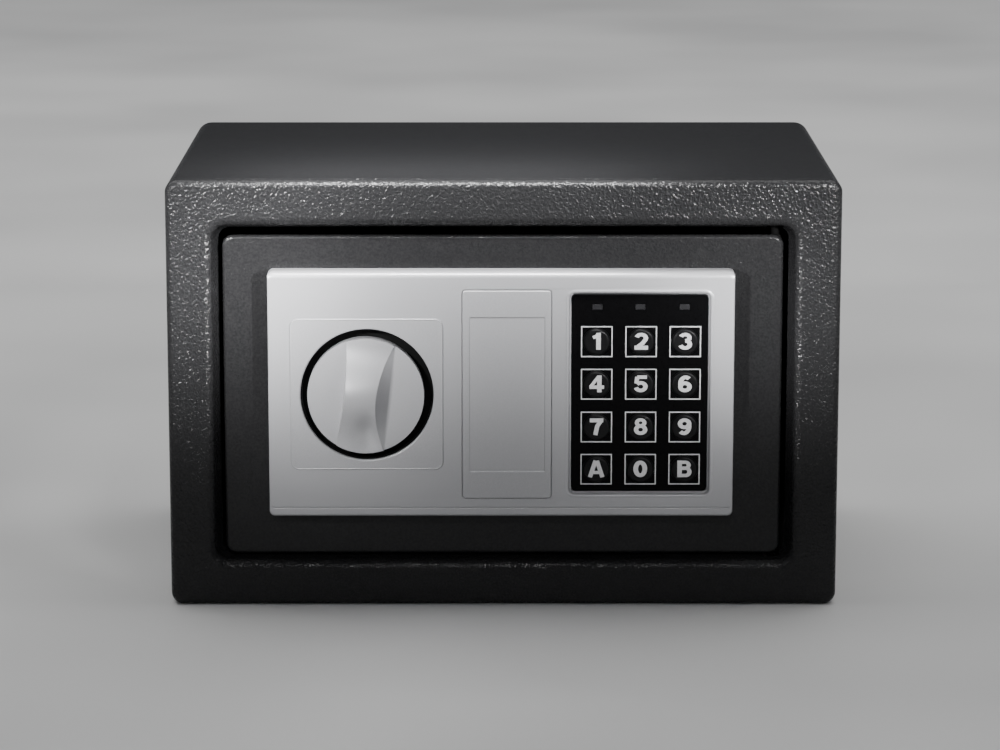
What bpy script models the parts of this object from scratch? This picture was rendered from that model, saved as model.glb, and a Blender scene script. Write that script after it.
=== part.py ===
"""Small electronic home safe.

Frame: metres, +Z up, +X to the right of someone facing the door, +Y towards the back.
The origin is the centre of the bottom face. A depth is measured back from the front face.
The door is shut and its bolts are drawn back.
"""

import math

import bmesh
import bpy
from mathutils import Vector

# ---- Driving dimensions, in metres -------------------------------------------------

GAP = 0.0003  # clearance between pieces that rest on each other
PAST = 0.001  # how far a cutter or a joined shape runs past the face that it meets

# body
BODY_WIDTH = 0.310
BODY_HEIGHT = 0.200
BODY_DEPTH = 0.200
BODY_CORNER = 0.0065
BODY_SHEET = 0.002
BACK_FOLD = 0.003
BACK_RIM = 0.0047
MIDDLE = BODY_HEIGHT / 2
MAT_MARGIN, MAT_THICKNESS = 0.008, 0.002
MAT_DEPTH = (0.018, 0.192)

# front frame
FRAME_SHEET = 0.0015
FRAME_FOLD = 0.005  # outer edge, folded back onto the shell
OPENING_HALF_WIDTH = 0.1335
OPENING_HALF_HEIGHT = 0.0785
OPENING_CORNER = 0.0065
OPENING_FOLD = 0.0045
OPENING_DEPTH = 0.0098  # where the opening's wall turns into its return flange
FLANGE_HALF_WIDTH = 0.1312
FLANGE_HALF_HEIGHT = 0.0771
FLANGE_CORNER = 0.0051

# door
DOOR_LEFT, DOOR_RIGHT = -0.1294, 0.1287
DOOR_BOTTOM, DOOR_TOP = 0.0232, 0.1738
DOOR_FRONT, DOOR_BACK = 0.006, 0.009
DOOR_CORNER = 0.005
DOOR_EDGE = 0.0012

# hinges
HINGE_X, HINGE_DEPTH = 0.125, 0.010
HINGE_PIN_RADIUS = 0.002
HINGE_HOLE_RADIUS = 0.0024
HINGE_ARM_HALF_WIDTH = 0.003
HINGE_ARM_LENGTH = 0.026
HINGE_SHEET = 0.002
HINGE_NOTCH, HINGE_NOTCH_HALF_HEIGHT = 0.0038, 0.0018
BRACKET_HALF_WIDTH = 0.007
BRACKET_DEPTH = (0.0055, 0.016)
ARM_REACH = 0.0012  # past the door's edge
# above and below the body's middle: the end of the pin, and the bracket that it turns in
PIN_END = 0.0840
BRACKET_START, BRACKET_END = 0.0804, 0.0844

# front panel
PANEL_LEFT, PANEL_RIGHT = -0.1084, 0.1061
PANEL_BOTTOM, PANEL_TOP = 0.0432, 0.1585
PANEL_FRONT = -0.0025
PANEL_CORNER = 0.002
PANEL_EDGE = 0.0016
PLATEAU_X, PLATEAU_Z = -0.0631, 0.1009
PLATEAU_WIDTH, PLATEAU_HEIGHT = 0.0708, 0.0713
PLATEAU_CORNER = 0.0037
PLATEAU_FRONT = -0.0031

# knob
KNOB_X, KNOB_Z = -0.0635, 0.1004
KNOB_RADIUS = 0.0271
KNOB_RECESS_RADIUS = 0.0306
KNOB_RECESS_DEPTH = 0.003
KNOB_FRONT, KNOB_EDGE = -0.003, 0.0008
KNOB_SHAFT_RADIUS, SHAFT_CLEARANCE = 0.006, 0.0005
KNOB_LEAN = math.radians(6.5)  # the grip's top leans to the right
GRIP_HALF_LENGTH = 0.0255
GRIP_END_HALF_WIDTH = 0.0105
GRIP_WAIST_HALF_WIDTH = 0.007
GRIP_RISE = 0.0094
GRIP_END_RISE = 0.0035
GRIP_DRAFT = math.radians(25)

# key cover and emergency lock
COVER_LEFT, COVER_RIGHT = -0.0189, 0.0219
COVER_BOTTOM, COVER_TOP = 0.0520, 0.1496
COVER_FRONT, COVER_BACK = -0.0033, -0.0013
COVER_CORNER = 0.0015
COVER_RECESS = (-0.0159, 0.0193, 0.0643, 0.1374)
COVER_RECESS_DEPTH = 0.0005
LOCK_X, LOCK_Z = 0.0015, 0.110
LOCK_RADIUS = 0.0095
LOCK_BACK = 0.022
PLUG_RADIUS, PLUG_BACK = 0.006, 0.024
KEYWAY_HALF_WIDTH, KEYWAY_HALF_HEIGHT, KEYWAY_BACK = 0.0008, 0.0035, 0.018
LOCK_CAM_HALF_WIDTH, LOCK_CAM_SHEET = 0.005, 0.002
LOCK_CAM_DROP, LOCK_CAM_RISE = 0.022, 0.006

# keypad
KEYPAD_LEFT, KEYPAD_RIGHT = 0.0311, 0.0942
KEYPAD_BOTTOM, KEYPAD_TOP = 0.0545, 0.1474
KEYPAD_CORNER = 0.0019
OVERLAY_FRONT, OVERLAY_BACK = -0.0005, 0.0007
BOARD_FRONT, BOARD_BACK = 0.0024, 0.0040
KEY_COLUMNS = (0.0429, 0.0633, 0.0836)
KEY_ROWS = (0.1253, 0.1053, 0.0851, 0.0651)
KEY_NAMES = (
    ("key_1", "key_2", "key_3"),
    ("key_4", "key_5", "key_6"),
    ("key_7", "key_8", "key_9"),
    ("key_a", "key_0", "key_b"),
)
KEY_RADIUS = 0.00625
KEY_RISE, KEY_SHOULDER, KEY_BACK = 0.0010, -0.0007, 0.0014
LENS_X = (0.0431, 0.0628, 0.0832)
LENS_Z = 0.1415
LENS_WIDTH, LENS_HEIGHT = 0.0046, 0.0025
CABLE_RADIUS, CABLE_HOLE_RADIUS = 0.0014, 0.004

# bolt work, on the door's back
BOLT_RADIUS, BOLT_EDGE = 0.008, 0.001
BOLT_DEPTH = 0.022
BOLT_TIP_X, BOLT_ROOT_X = -0.127, -0.0963
BOLT_Z = (0.1425, 0.0585)
CARRIAGE_BAR_X, CARRIAGE_BAR_DEPTH, CARRIAGE_BAR_Z = (-0.096, -0.093), (0.014, 0.030), (0.046, 0.155)
TONGUE_DEPTH = (0.018, 0.020)
TONGUE_TALL_Z, TONGUE_LOW_Z = (0.085, 0.122), (0.100, 0.115)
TONGUE_SHOULDER_X = -0.046
TONGUE_END_X = -0.012
TOOTH_WIDTH, TOOTH_TOP = 0.006, 0.118
CAM_DEPTH = (0.012, 0.0145)
CAM_RADIUS = 0.018
CRANK_RADIUS = 0.014
CRANK_REACH = CRANK_RADIUS * math.sin(math.pi / 4)  # the pin stands 45 degrees up to the right
CRANK_PIN_RADIUS, CRANK_PIN_BACK = 0.002, 0.0208
CRANK_CLEARANCE = 0.0006
CAM_SCREW_RADIUS, CAM_SCREW_BORE, CAM_SCREW_FRONT, CAM_SCREW_BACK = 0.002, 0.0023, 0.006, 0.0168
ANGLE_SHEET = 0.002  # of the bolt guide and the strike plate
GUIDE_X, GUIDE_FOOT_X = (-0.124, -0.122), -0.104
GUIDE_Z, GUIDE_BACK = (0.040, 0.160), 0.044
STRIKE_X, STRIKE_Z, STRIKE_BACK = (-0.137, -0.135), (0.042, 0.159), 0.042
RUNNING_CLEARANCE, STRIKE_CLEARANCE = 0.0004, 0.001

# solenoid that blocks the carriage
SOLENOID_X, SOLENOID_DEPTH = -0.028, 0.019
SOLENOID_Z = (0.134, 0.156)
PLUNGER_RADIUS = 0.0035
PLUNGER_TIP_Z, PLUNGER_TOP_Z = 0.1188, 0.154
PLUNGER_COLLAR_Z, PLUNGER_COLLAR_RADIUS = (0.124, 0.126), 0.0052
SOLENOID_HALF_WIDTH = 0.010

# inner cover, batteries and reset button
INNER_LEFT, INNER_RIGHT = -0.121, 0.112
INNER_BOTTOM, INNER_TOP = 0.030, 0.168
INNER_BACK = 0.0465
INNER_SHEET = 0.0015
INNER_FLANGE = 0.0048
CELL_RADIUS = 0.00725
CELL_LENGTH = 0.0505
CELL_X = (0.0300, 0.0454, 0.0608, 0.0762)
CELL_DEPTH, CELL_BOTTOM = 0.035, 0.070
CELL_BUTTON_RADIUS, CELL_BUTTON_RISE = 0.0027, 0.001
CELL_OPENING_X, CELL_OPENING_Z = (0.022, 0.0842), (0.069, 0.1215)
TRAY_WALL, TRAY_SPARE = 0.0015, 0.0004
LID_X, LID_Z, LID_SHEET, LID_CORNER = (0.018, 0.088), (0.065, 0.1255), 0.0018, 0.002
RESET_X, RESET_Z = 0.098, 0.145
RESET_RADIUS, RESET_HOLE_RADIUS, RESET_RISE = 0.004, 0.0045, 0.003
COVER_SCREW_RADIUS, COVER_SCREW_HEAD, COVER_SCREW_RISE = 0.0013, 0.0021, 0.0016
COVER_SCREW_INSET = 0.012

ANCHOR_RADIUS = 0.005
ANCHOR_X = 0.090
ANCHOR_BACK_Z = 0.100

CORNER_STEPS = 4
DOME_STEPS = 3
ROUND_SIDES = 24
SCREW_SIDES = 14

# name: (colour, roughness, metallic)
MATERIALS = {
    "charcoal_paint": ((0.045, 0.045, 0.047), 0.48, 0.0),
    "zinc_steel": ((0.55, 0.56, 0.57), 0.38, 1.0),
    "silver_plastic": ((0.50, 0.50, 0.52), 0.36, 0.3),
    "black_overlay": ((0.012, 0.012, 0.013), 0.42, 0.0),
    "key_rubber": ((0.018, 0.018, 0.019), 0.50, 0.0),
    "lens_grey": ((0.05, 0.05, 0.055), 0.25, 0.0),
    "circuit_green": ((0.02, 0.13, 0.05), 0.45, 0.0),
    "brass": ((0.62, 0.46, 0.20), 0.32, 1.0),
    "black_plastic": ((0.03, 0.03, 0.032), 0.50, 0.0),
    "cell_wrap": ((0.05, 0.11, 0.22), 0.35, 0.0),
    "red_plastic": ((0.50, 0.03, 0.03), 0.35, 0.0),
    "grey_felt": ((0.12, 0.12, 0.13), 0.95, 0.0),
}


# ---- Scene and materials -----------------------------------------------------------


def clear_scene():
    for item in list(bpy.data.objects):
        bpy.data.objects.remove(item, do_unlink=True)


def new_collection(name):
    collection = bpy.data.collections.new(name)
    bpy.context.scene.collection.children.link(collection)
    return collection


def make_material(name):
    colour, roughness, metallic = MATERIALS[name]
    material = bpy.data.materials.new(name)
    material.use_nodes = True
    shader = material.node_tree.nodes["Principled BSDF"]
    shader.inputs["Base Color"].default_value = (*colour, 1.0)
    shader.inputs["Roughness"].default_value = roughness
    shader.inputs["Metallic"].default_value = metallic
    return material


clear_scene()
PARTS = new_collection("electronic_safe")
CUTTERS = new_collection("cutters")
FINISH = {name: make_material(name) for name in MATERIALS}


def at(x, depth, z):
    """A point from its x, its depth behind the front face and its height."""
    return Vector((x, depth - BODY_DEPTH / 2, z))


def add_object(name, mesh):
    item = bpy.data.objects.new(name, mesh)
    PARTS.objects.link(item)
    return item


def add_empty(name, point):
    empty = bpy.data.objects.new(name, None)
    empty.location = point
    PARTS.objects.link(empty)
    return empty


def finish(item, material, axis=None):
    """Give a piece its material, soften its round faces, and hang it on its joint's axis."""
    item.data.materials.clear()
    item.data.materials.append(FINISH[material])
    item.data.shade_smooth()
    item.data.set_sharp_from_angle(angle=math.radians(35))
    if axis:
        item.parent = axis
        item.location = item.location - axis.location
    return item


# ---- Shapes ------------------------------------------------------------------------


def mesh_from(name, build):
    """An object whose mesh a function fills in."""
    mesh = bpy.data.meshes.new(name)
    shape = bmesh.new()
    build(shape)
    bmesh.ops.recalc_face_normals(shape, faces=shape.faces)
    shape.to_mesh(mesh)
    shape.free()
    return add_object(name, mesh)


def box(name, x_range, depth_range, z_range):
    """A box between two values on each axis."""
    low = at(x_range[0], depth_range[0], z_range[0])
    high = at(x_range[1], depth_range[1], z_range[1])

    def build(shape):
        made = bmesh.ops.create_cube(shape, size=1.0)
        bmesh.ops.scale(shape, vec=high - low, verts=made["verts"])

    item = mesh_from(name, build)
    item.location = (low + high) / 2
    return item


def cylinder(name, start, end, radius, sides=ROUND_SIDES):
    """A cylinder between two points."""
    span = end - start

    def build(shape):
        bmesh.ops.create_cone(
            shape,
            cap_ends=True,
            segments=sides,
            radius1=radius,
            radius2=radius,
            depth=span.length,
        )
        turn = Vector((0, 0, 1)).rotation_difference(span).to_matrix()
        bmesh.ops.rotate(shape, matrix=turn, verts=shape.verts)

    item = mesh_from(name, build)
    item.location = (start + end) / 2
    return item


def rounded_outline(x_range, z_range, radius, steps=CORNER_STEPS):
    """The (x, z) points around a rectangle with round corners."""
    x0, x1 = x_range[0] + radius, x_range[1] - radius
    z0, z1 = z_range[0] + radius, z_range[1] - radius
    points = []
    for quarter, (x, z) in enumerate(((x1, z1), (x0, z1), (x0, z0), (x1, z0))):
        for step in range(steps + 1):
            turn = (quarter + step / steps) * math.pi / 2
            points.append((x + radius * math.cos(turn), z + radius * math.sin(turn)))
    return points


def plate(name, x_range, depth_range, z_range, corner, edge=0.0, steps=CORNER_STEPS):
    """A flat plate with round corners, drawn as an outline and extruded through its thickness."""
    curve = bpy.data.curves.new(name, "CURVE")
    curve.dimensions = "2D"
    curve.fill_mode = "BOTH"
    curve.extrude = (depth_range[1] - depth_range[0]) / 2
    points = rounded_outline(x_range, z_range, corner, steps)
    spline = curve.splines.new("POLY")
    spline.points.add(len(points) - 1)
    for point, (x, z) in zip(spline.points, points):
        point.co = (x, z, 0, 1)
    spline.use_cyclic_u = True
    drawing = add_object(name + "_outline", curve)
    drawing.rotation_euler = (math.pi / 2, 0, 0)
    drawing.location = at(0, sum(depth_range) / 2, 0)
    item = mesh_of_curve(name, drawing)
    if edge:
        add_bevel(item, edge)
    return item


def mesh_of_curve(name, drawing):
    """Turn a curve object into a mesh object with welded caps, in the same place."""
    bpy.context.view_layer.update()
    graph = bpy.context.evaluated_depsgraph_get()
    mesh = bpy.data.meshes.new_from_object(drawing.evaluated_get(graph))
    shape = bmesh.new()
    shape.from_mesh(mesh)
    bmesh.ops.transform(shape, matrix=drawing.matrix_world, verts=shape.verts)
    bmesh.ops.remove_doubles(shape, verts=shape.verts, dist=1e-6)
    bmesh.ops.dissolve_limit(
        shape, angle_limit=math.radians(0.5), verts=shape.verts, edges=shape.edges
    )
    bmesh.ops.recalc_face_normals(shape, faces=shape.faces)
    shape.to_mesh(mesh)
    shape.free()
    bpy.data.objects.remove(drawing, do_unlink=True)
    return add_object(name, mesh)


def folded_sheet(name, outlines, sheet, close=False):
    """An open surface made thick inwards. An outline is its x range, z range, corner and depth."""

    def build(shape):
        rings = []
        for x_range, z_range, corner, depth in outlines:
            points = rounded_outline(x_range, z_range, corner)
            rings.append([shape.verts.new(at(x, depth, z)) for x, z in points])
        for ring, after in zip(rings, rings[1:]):
            for n in range(len(ring)):
                m = (n + 1) % len(ring)
                shape.faces.new((ring[n], ring[m], after[m], after[n]))
        if close:
            shape.faces.new(rings[-1])

    item = mesh_from(name, build)
    solid = item.modifiers.new("sheet", "SOLIDIFY")
    solid.thickness = sheet
    solid.offset = -1
    solid.use_even_offset = True
    return item


def turned(name, profile, centre, sides=ROUND_SIDES):
    """A turned piece whose axis runs front to back: a profile of (radius, depth), front to back."""
    mesh = bpy.data.meshes.new(name)
    points = [(radius, 0, -depth) for radius, depth in profile]
    mesh.from_pydata(points, [(n, n + 1) for n in range(len(points) - 1)], [])
    item = add_object(name, mesh)
    spin = item.modifiers.new("spin", "SCREW")
    spin.steps = spin.render_steps = sides
    spin.use_merge_vertices = True
    spin.merge_threshold = 1e-5
    item.rotation_euler = (math.pi / 2, 0, 0)
    item.location = at(centre[0], 0, centre[1])
    return item


def add_bevel(item, width, segments=1):
    bevel = item.modifiers.new("edge", "BEVEL")
    bevel.width = width
    bevel.segments = segments
    bevel.limit_method = "ANGLE"
    bevel.angle_limit = math.radians(60)


def combine(item, others, operation):
    """Cut other shapes out of a piece, or join them to it."""
    for other in others:
        step = item.modifiers.new(other.name, "BOOLEAN")
        step.operation = operation
        step.solver = "EXACT"
        step.object = other
        PARTS.objects.unlink(other)
        CUTTERS.objects.link(other)
        other.hide_render = True
        other.display_type = "WIRE"
    return item


def cut(item, *others):
    return combine(item, others, "DIFFERENCE")


def join(item, *others):
    return combine(item, others, "UNION")


def around(centre, half):
    return (centre - half, centre + half)


def screw_of(name, centre, radius, head_radius, depths):
    """A screw seen from behind: the depths are its tip, the seat of its head and the head's top."""
    tip, seat, top = depths
    profile = [(0, tip), (radius, tip), (radius, seat), (head_radius, seat), (head_radius, top), (0, top)]
    return turned(name, profile, centre, sides=SCREW_SIDES)


def hole(name, x, z, depth_range, radius):
    """A cylinder that runs front to back, to cut with or to keep."""
    return cylinder(name, at(x, depth_range[0], z), at(x, depth_range[1], z), radius)


# ---- Body --------------------------------------------------------------------------


def make_body_shell():
    wide, high = around(0, BODY_WIDTH / 2), around(MIDDLE, BODY_HEIGHT / 2)
    front, back = FRAME_FOLD + GAP, BODY_DEPTH - BACK_RIM - GAP
    rings = [(wide, high, BODY_CORNER, depth) for depth in (front, back)]
    shell = folded_sheet("body_shell", rings, BODY_SHEET)
    for side, x in (("left", -ANCHOR_X), ("right", ANCHOR_X)):
        low, top = at(x, BODY_DEPTH / 2, -BODY_SHEET), at(x, BODY_DEPTH / 2, 2 * BODY_SHEET)
        cut(shell, cylinder("floor_anchor_hole_" + side, low, top, ANCHOR_RADIUS))
    return finish(shell, "charcoal_paint")


def make_back_panel():
    rings = []
    for step in range(CORNER_STEPS + 1):
        turn = step / CORNER_STEPS * math.pi / 2
        inset = BACK_FOLD * (1 - math.cos(turn))
        depth = BODY_DEPTH - BACK_FOLD + BACK_FOLD * math.sin(turn)
        wide = around(0, BODY_WIDTH / 2 - inset)
        high = around(MIDDLE, BODY_HEIGHT / 2 - inset)
        rings.append((wide, high, BODY_CORNER - inset, depth))
    rim = (around(0, BODY_WIDTH / 2), around(MIDDLE, BODY_HEIGHT / 2), BODY_CORNER)
    rings.insert(0, (*rim, BODY_DEPTH - BACK_RIM))
    back = folded_sheet("back_panel", rings, BODY_SHEET, close=True)
    for side, x in (("left", -ANCHOR_X), ("right", ANCHOR_X)):
        span = (BODY_DEPTH - 2 * BODY_SHEET, BODY_DEPTH + BODY_SHEET)
        cut(back, hole("back_anchor_hole_" + side, x, ANCHOR_BACK_Z, span, ANCHOR_RADIUS))
    return finish(back, "charcoal_paint")


def make_front_frame():
    """Outer lip, rounded edge, flat face, rounded opening edge, opening wall and return flange."""
    rings = []
    for step in range(CORNER_STEPS + 1):
        turn = step / CORNER_STEPS * math.pi / 2
        inset = FRAME_FOLD * (1 - math.cos(turn))
        wide = around(0, BODY_WIDTH / 2 - inset)
        high = around(MIDDLE, BODY_HEIGHT / 2 - inset)
        depth = FRAME_FOLD * (1 - math.sin(turn))
        rings.append((wide, high, BODY_CORNER - inset, depth))
    for step in range(CORNER_STEPS + 1):
        turn = step / CORNER_STEPS * math.pi / 2
        outset = OPENING_FOLD * (1 - math.sin(turn))
        wide = around(0, OPENING_HALF_WIDTH + outset)
        high = around(MIDDLE, OPENING_HALF_HEIGHT + outset)
        depth = OPENING_FOLD * (1 - math.cos(turn))
        rings.append((wide, high, OPENING_CORNER + outset, depth))
    wall = (around(0, OPENING_HALF_WIDTH), around(MIDDLE, OPENING_HALF_HEIGHT))
    rings.append((*wall, OPENING_CORNER, OPENING_DEPTH))
    lip = (around(0, FLANGE_HALF_WIDTH), around(MIDDLE, FLANGE_HALF_HEIGHT))
    rings.append((*lip, FLANGE_CORNER, OPENING_DEPTH))
    frame = folded_sheet("front_frame", rings, FRAME_SHEET)
    wide, depths = around(HINGE_X, HINGE_NOTCH), around(HINGE_DEPTH, HINGE_NOTCH)
    for place, way in (("upper", 1), ("lower", -1)):
        high = around(MIDDLE + way * OPENING_HALF_HEIGHT, HINGE_NOTCH_HALF_HEIGHT)
        cut(frame, box("hinge_notch_" + place, wide, depths, high))
    return finish(frame, "charcoal_paint")


def make_hinge_bracket(place, way):
    """A block welded behind the frame, with the hole that the hinge pin turns in."""
    wide = around(HINGE_X, BRACKET_HALF_WIDTH)
    z_range = sorted((MIDDLE + way * BRACKET_START, MIDDLE + way * BRACKET_END))
    bracket = box("hinge_bracket_" + place, wide, BRACKET_DEPTH, z_range)
    low = at(HINGE_X, HINGE_DEPTH, z_range[0] - PAST)
    high = at(HINGE_X, HINGE_DEPTH, z_range[1] + PAST)
    cut(bracket, cylinder("pin_hole_" + place, low, high, HINGE_HOLE_RADIUS))
    return finish(bracket, "charcoal_paint")


def make_strike_plate():
    """An angle behind the left jamb, with a hole for each bolt."""
    front = OPENING_DEPTH + FRAME_SHEET + GAP
    strike = box("strike_plate", STRIKE_X, (front, STRIKE_BACK), STRIKE_Z)
    foot_x = (-BODY_WIDTH / 2 + BODY_SHEET + GAP, STRIKE_X[1])
    join(strike, box("strike_foot", foot_x, (STRIKE_BACK - ANGLE_SHEET, STRIKE_BACK), STRIKE_Z))
    for place, z in zip(("upper", "lower"), BOLT_Z):
        start, end = at(STRIKE_X[0] - PAST, BOLT_DEPTH, z), at(STRIKE_X[1] + PAST, BOLT_DEPTH, z)
        cut(strike, cylinder("strike_hole_" + place, start, end, BOLT_RADIUS + STRIKE_CLEARANCE))
    return finish(strike, "charcoal_paint")


def make_floor_mat():
    wide = around(0, BODY_WIDTH / 2 - MAT_MARGIN)
    high = (BODY_SHEET + GAP, BODY_SHEET + GAP + MAT_THICKNESS)
    mat = box("floor_mat", wide, MAT_DEPTH, high)
    for side, x in (("left", -ANCHOR_X), ("right", ANCHOR_X)):
        low, top = at(x, BODY_DEPTH / 2, 0), at(x, BODY_DEPTH / 2, 2 * high[1])
        cut(mat, cylinder("mat_anchor_hole_" + side, low, top, 1.4 * ANCHOR_RADIUS))
    return finish(mat, "grey_felt")


# ---- Door --------------------------------------------------------------------------


def make_door_plate(axis):
    door = plate(
        "door_plate",
        (DOOR_LEFT, DOOR_RIGHT),
        (DOOR_FRONT, DOOR_BACK),
        (DOOR_BOTTOM, DOOR_TOP),
        DOOR_CORNER,
        DOOR_EDGE,
    )
    through = (DOOR_FRONT - PAST, DOOR_BACK + PAST)
    cut(
        door,
        hole("door_shaft_hole", KNOB_X, KNOB_Z, through, KNOB_SHAFT_RADIUS + SHAFT_CLEARANCE),
        hole("door_lock_hole", LOCK_X, LOCK_Z, through, LOCK_RADIUS + GAP),
        hole("door_cable_hole", KEY_COLUMNS[1], MIDDLE, through, CABLE_HOLE_RADIUS),
    )
    return finish(door, "charcoal_paint", axis)


def make_hinge_arm(place, way, edge_z, axis):
    """A strap on the door's back that reaches past the door's edge, and the pin welded to it."""
    root, end_z = edge_z - way * HINGE_ARM_LENGTH, edge_z + way * ARM_REACH
    wide = around(HINGE_X, HINGE_ARM_HALF_WIDTH)
    deep = (DOOR_BACK + GAP, DOOR_BACK + GAP + HINGE_SHEET)
    arm = box("hinge_arm_" + place, wide, deep, sorted((root, end_z)))
    start = at(HINGE_X, HINGE_DEPTH, edge_z + way * GAP)
    end = at(HINGE_X, HINGE_DEPTH, MIDDLE + way * PIN_END)
    join(arm, cylinder("hinge_pin_" + place, start, end, HINGE_PIN_RADIUS))
    return finish(arm, "charcoal_paint", axis)


def make_front_panel(axis):
    back = DOOR_FRONT - GAP
    panel = plate(
        "front_panel",
        (PANEL_LEFT, PANEL_RIGHT),
        (PANEL_FRONT, back),
        (PANEL_BOTTOM, PANEL_TOP),
        PANEL_CORNER,
        PANEL_EDGE,
    )
    plateau = plate(
        "plateau",
        around(PLATEAU_X, PLATEAU_WIDTH / 2),
        (PLATEAU_FRONT, PANEL_FRONT + PAST),
        around(PLATEAU_Z, PLATEAU_HEIGHT / 2),
        PLATEAU_CORNER,
    )
    join(panel, plateau)
    recess = (PLATEAU_FRONT - PAST, KNOB_RECESS_DEPTH)
    through = (PANEL_FRONT - PAST, back + PAST)
    cut(
        panel,
        hole("knob_recess", KNOB_X, KNOB_Z, recess, KNOB_RECESS_RADIUS),
        hole("panel_shaft_hole", KNOB_X, KNOB_Z, through, KNOB_SHAFT_RADIUS + SHAFT_CLEARANCE),
        plate(
            "cover_pocket",
            (COVER_LEFT - GAP, COVER_RIGHT + GAP),
            (PANEL_FRONT - PAST, COVER_BACK + GAP),
            (COVER_BOTTOM - GAP, COVER_TOP + GAP),
            COVER_CORNER,
        ),
        hole("panel_lock_hole", LOCK_X, LOCK_Z, through, LOCK_RADIUS + GAP),
        plate(
            "keypad_window",
            (KEYPAD_LEFT, KEYPAD_RIGHT),
            through,
            (KEYPAD_BOTTOM, KEYPAD_TOP),
            KEYPAD_CORNER,
        ),
    )
    return finish(panel, "silver_plastic", axis)


def make_keypad_overlay(axis):
    overlay = plate(
        "keypad_overlay",
        (KEYPAD_LEFT + GAP, KEYPAD_RIGHT - GAP),
        (OVERLAY_FRONT, OVERLAY_BACK),
        (KEYPAD_BOTTOM + GAP, KEYPAD_TOP - GAP),
        KEYPAD_CORNER,
    )
    through = (OVERLAY_FRONT - PAST, OVERLAY_BACK + PAST)
    for names, z in zip(KEY_NAMES, KEY_ROWS):
        for name, x in zip(names, KEY_COLUMNS):
            cut(overlay, hole(name + "_hole", x, z, through, KEY_RADIUS + GAP))
    for number, x in enumerate(LENS_X):
        wide, high = around(x, LENS_WIDTH / 2 + GAP), around(LENS_Z, LENS_HEIGHT / 2 + GAP)
        cut(overlay, box(f"lens_hole_{number}", wide, through, high))
    return finish(overlay, "black_overlay", axis)


def make_lens(name, x, axis):
    wide, high = around(x, LENS_WIDTH / 2), around(LENS_Z, LENS_HEIGHT / 2)
    return finish(box(name, wide, (OVERLAY_FRONT, BOARD_FRONT - GAP), high), "lens_grey", axis)


def make_circuit_board(axis):
    margin = 0.002
    board = box(
        "keypad_circuit_board",
        (KEYPAD_LEFT + margin, KEYPAD_RIGHT - margin),
        (BOARD_FRONT, BOARD_BACK),
        (KEYPAD_BOTTOM + margin, KEYPAD_TOP - margin),
    )
    return finish(board, "circuit_green", axis)


def make_key(name, x, z, door_axis):
    """A domed key that stands through the overlay."""
    dome = []
    for step in range(DOME_STEPS + 1):
        turn = step / DOME_STEPS * math.pi / 2
        dome.append((KEY_RADIUS * math.sin(turn), KEY_SHOULDER - KEY_RISE * math.cos(turn)))
    profile = [*dome, (KEY_RADIUS, KEY_BACK), (0, KEY_BACK)]
    key = turned(name, profile, (x, z))
    return finish(key, "key_rubber", door_axis)


def make_cable(axis):
    """The lead from the keypad's board to the solenoid, through the door plate."""
    route = (
        at(KEY_COLUMNS[1], BOARD_BACK + GAP, MIDDLE),
        at(KEY_COLUMNS[1], 0.011, MIDDLE),
        at(0.060, 0.0145, 0.105),
        at(0.050, 0.016, 0.118),
        at(0.030, 0.0165, 0.132),
        at(0.005, 0.0165, 0.143),
        at(SOLENOID_X + SOLENOID_HALF_WIDTH + GAP, 0.0165, 0.146),
    )
    curve = bpy.data.curves.new("keypad_cable", "CURVE")
    curve.dimensions = "3D"
    curve.bevel_depth = CABLE_RADIUS
    curve.bevel_resolution = 1
    curve.use_fill_caps = True
    spline = curve.splines.new("POLY")
    spline.points.add(len(route) - 1)
    for point, place in zip(spline.points, route):
        point.co = (*place, 1)
    cable = mesh_of_curve("keypad_cable", add_object("keypad_cable_line", curve))
    return finish(cable, "black_plastic", axis)


# ---- Knob and bolt work ------------------------------------------------------------


def make_knob(axis):
    """A disc with a raised grip, and the shaft that passes through the door."""
    back = KNOB_RECESS_DEPTH - GAP
    profile = [
        (0, KNOB_FRONT),
        (KNOB_RADIUS - KNOB_EDGE, KNOB_FRONT),
        (KNOB_RADIUS, KNOB_FRONT + KNOB_EDGE),
        (KNOB_RADIUS, back),
        (KNOB_SHAFT_RADIUS, back),
        (KNOB_SHAFT_RADIUS, CAM_DEPTH[0] - GAP),
        (0, CAM_DEPTH[0] - GAP),
    ]
    knob = turned("knob", profile, (KNOB_X, KNOB_Z), sides=32)
    join(knob, make_grip())
    span = (CAM_SCREW_FRONT - GAP, CAM_DEPTH[0] + PAST)
    cut(knob, hole("knob_screw_bore", KNOB_X, KNOB_Z, span, CAM_SCREW_BORE))
    return finish(knob, "silver_plastic", axis)


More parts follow.
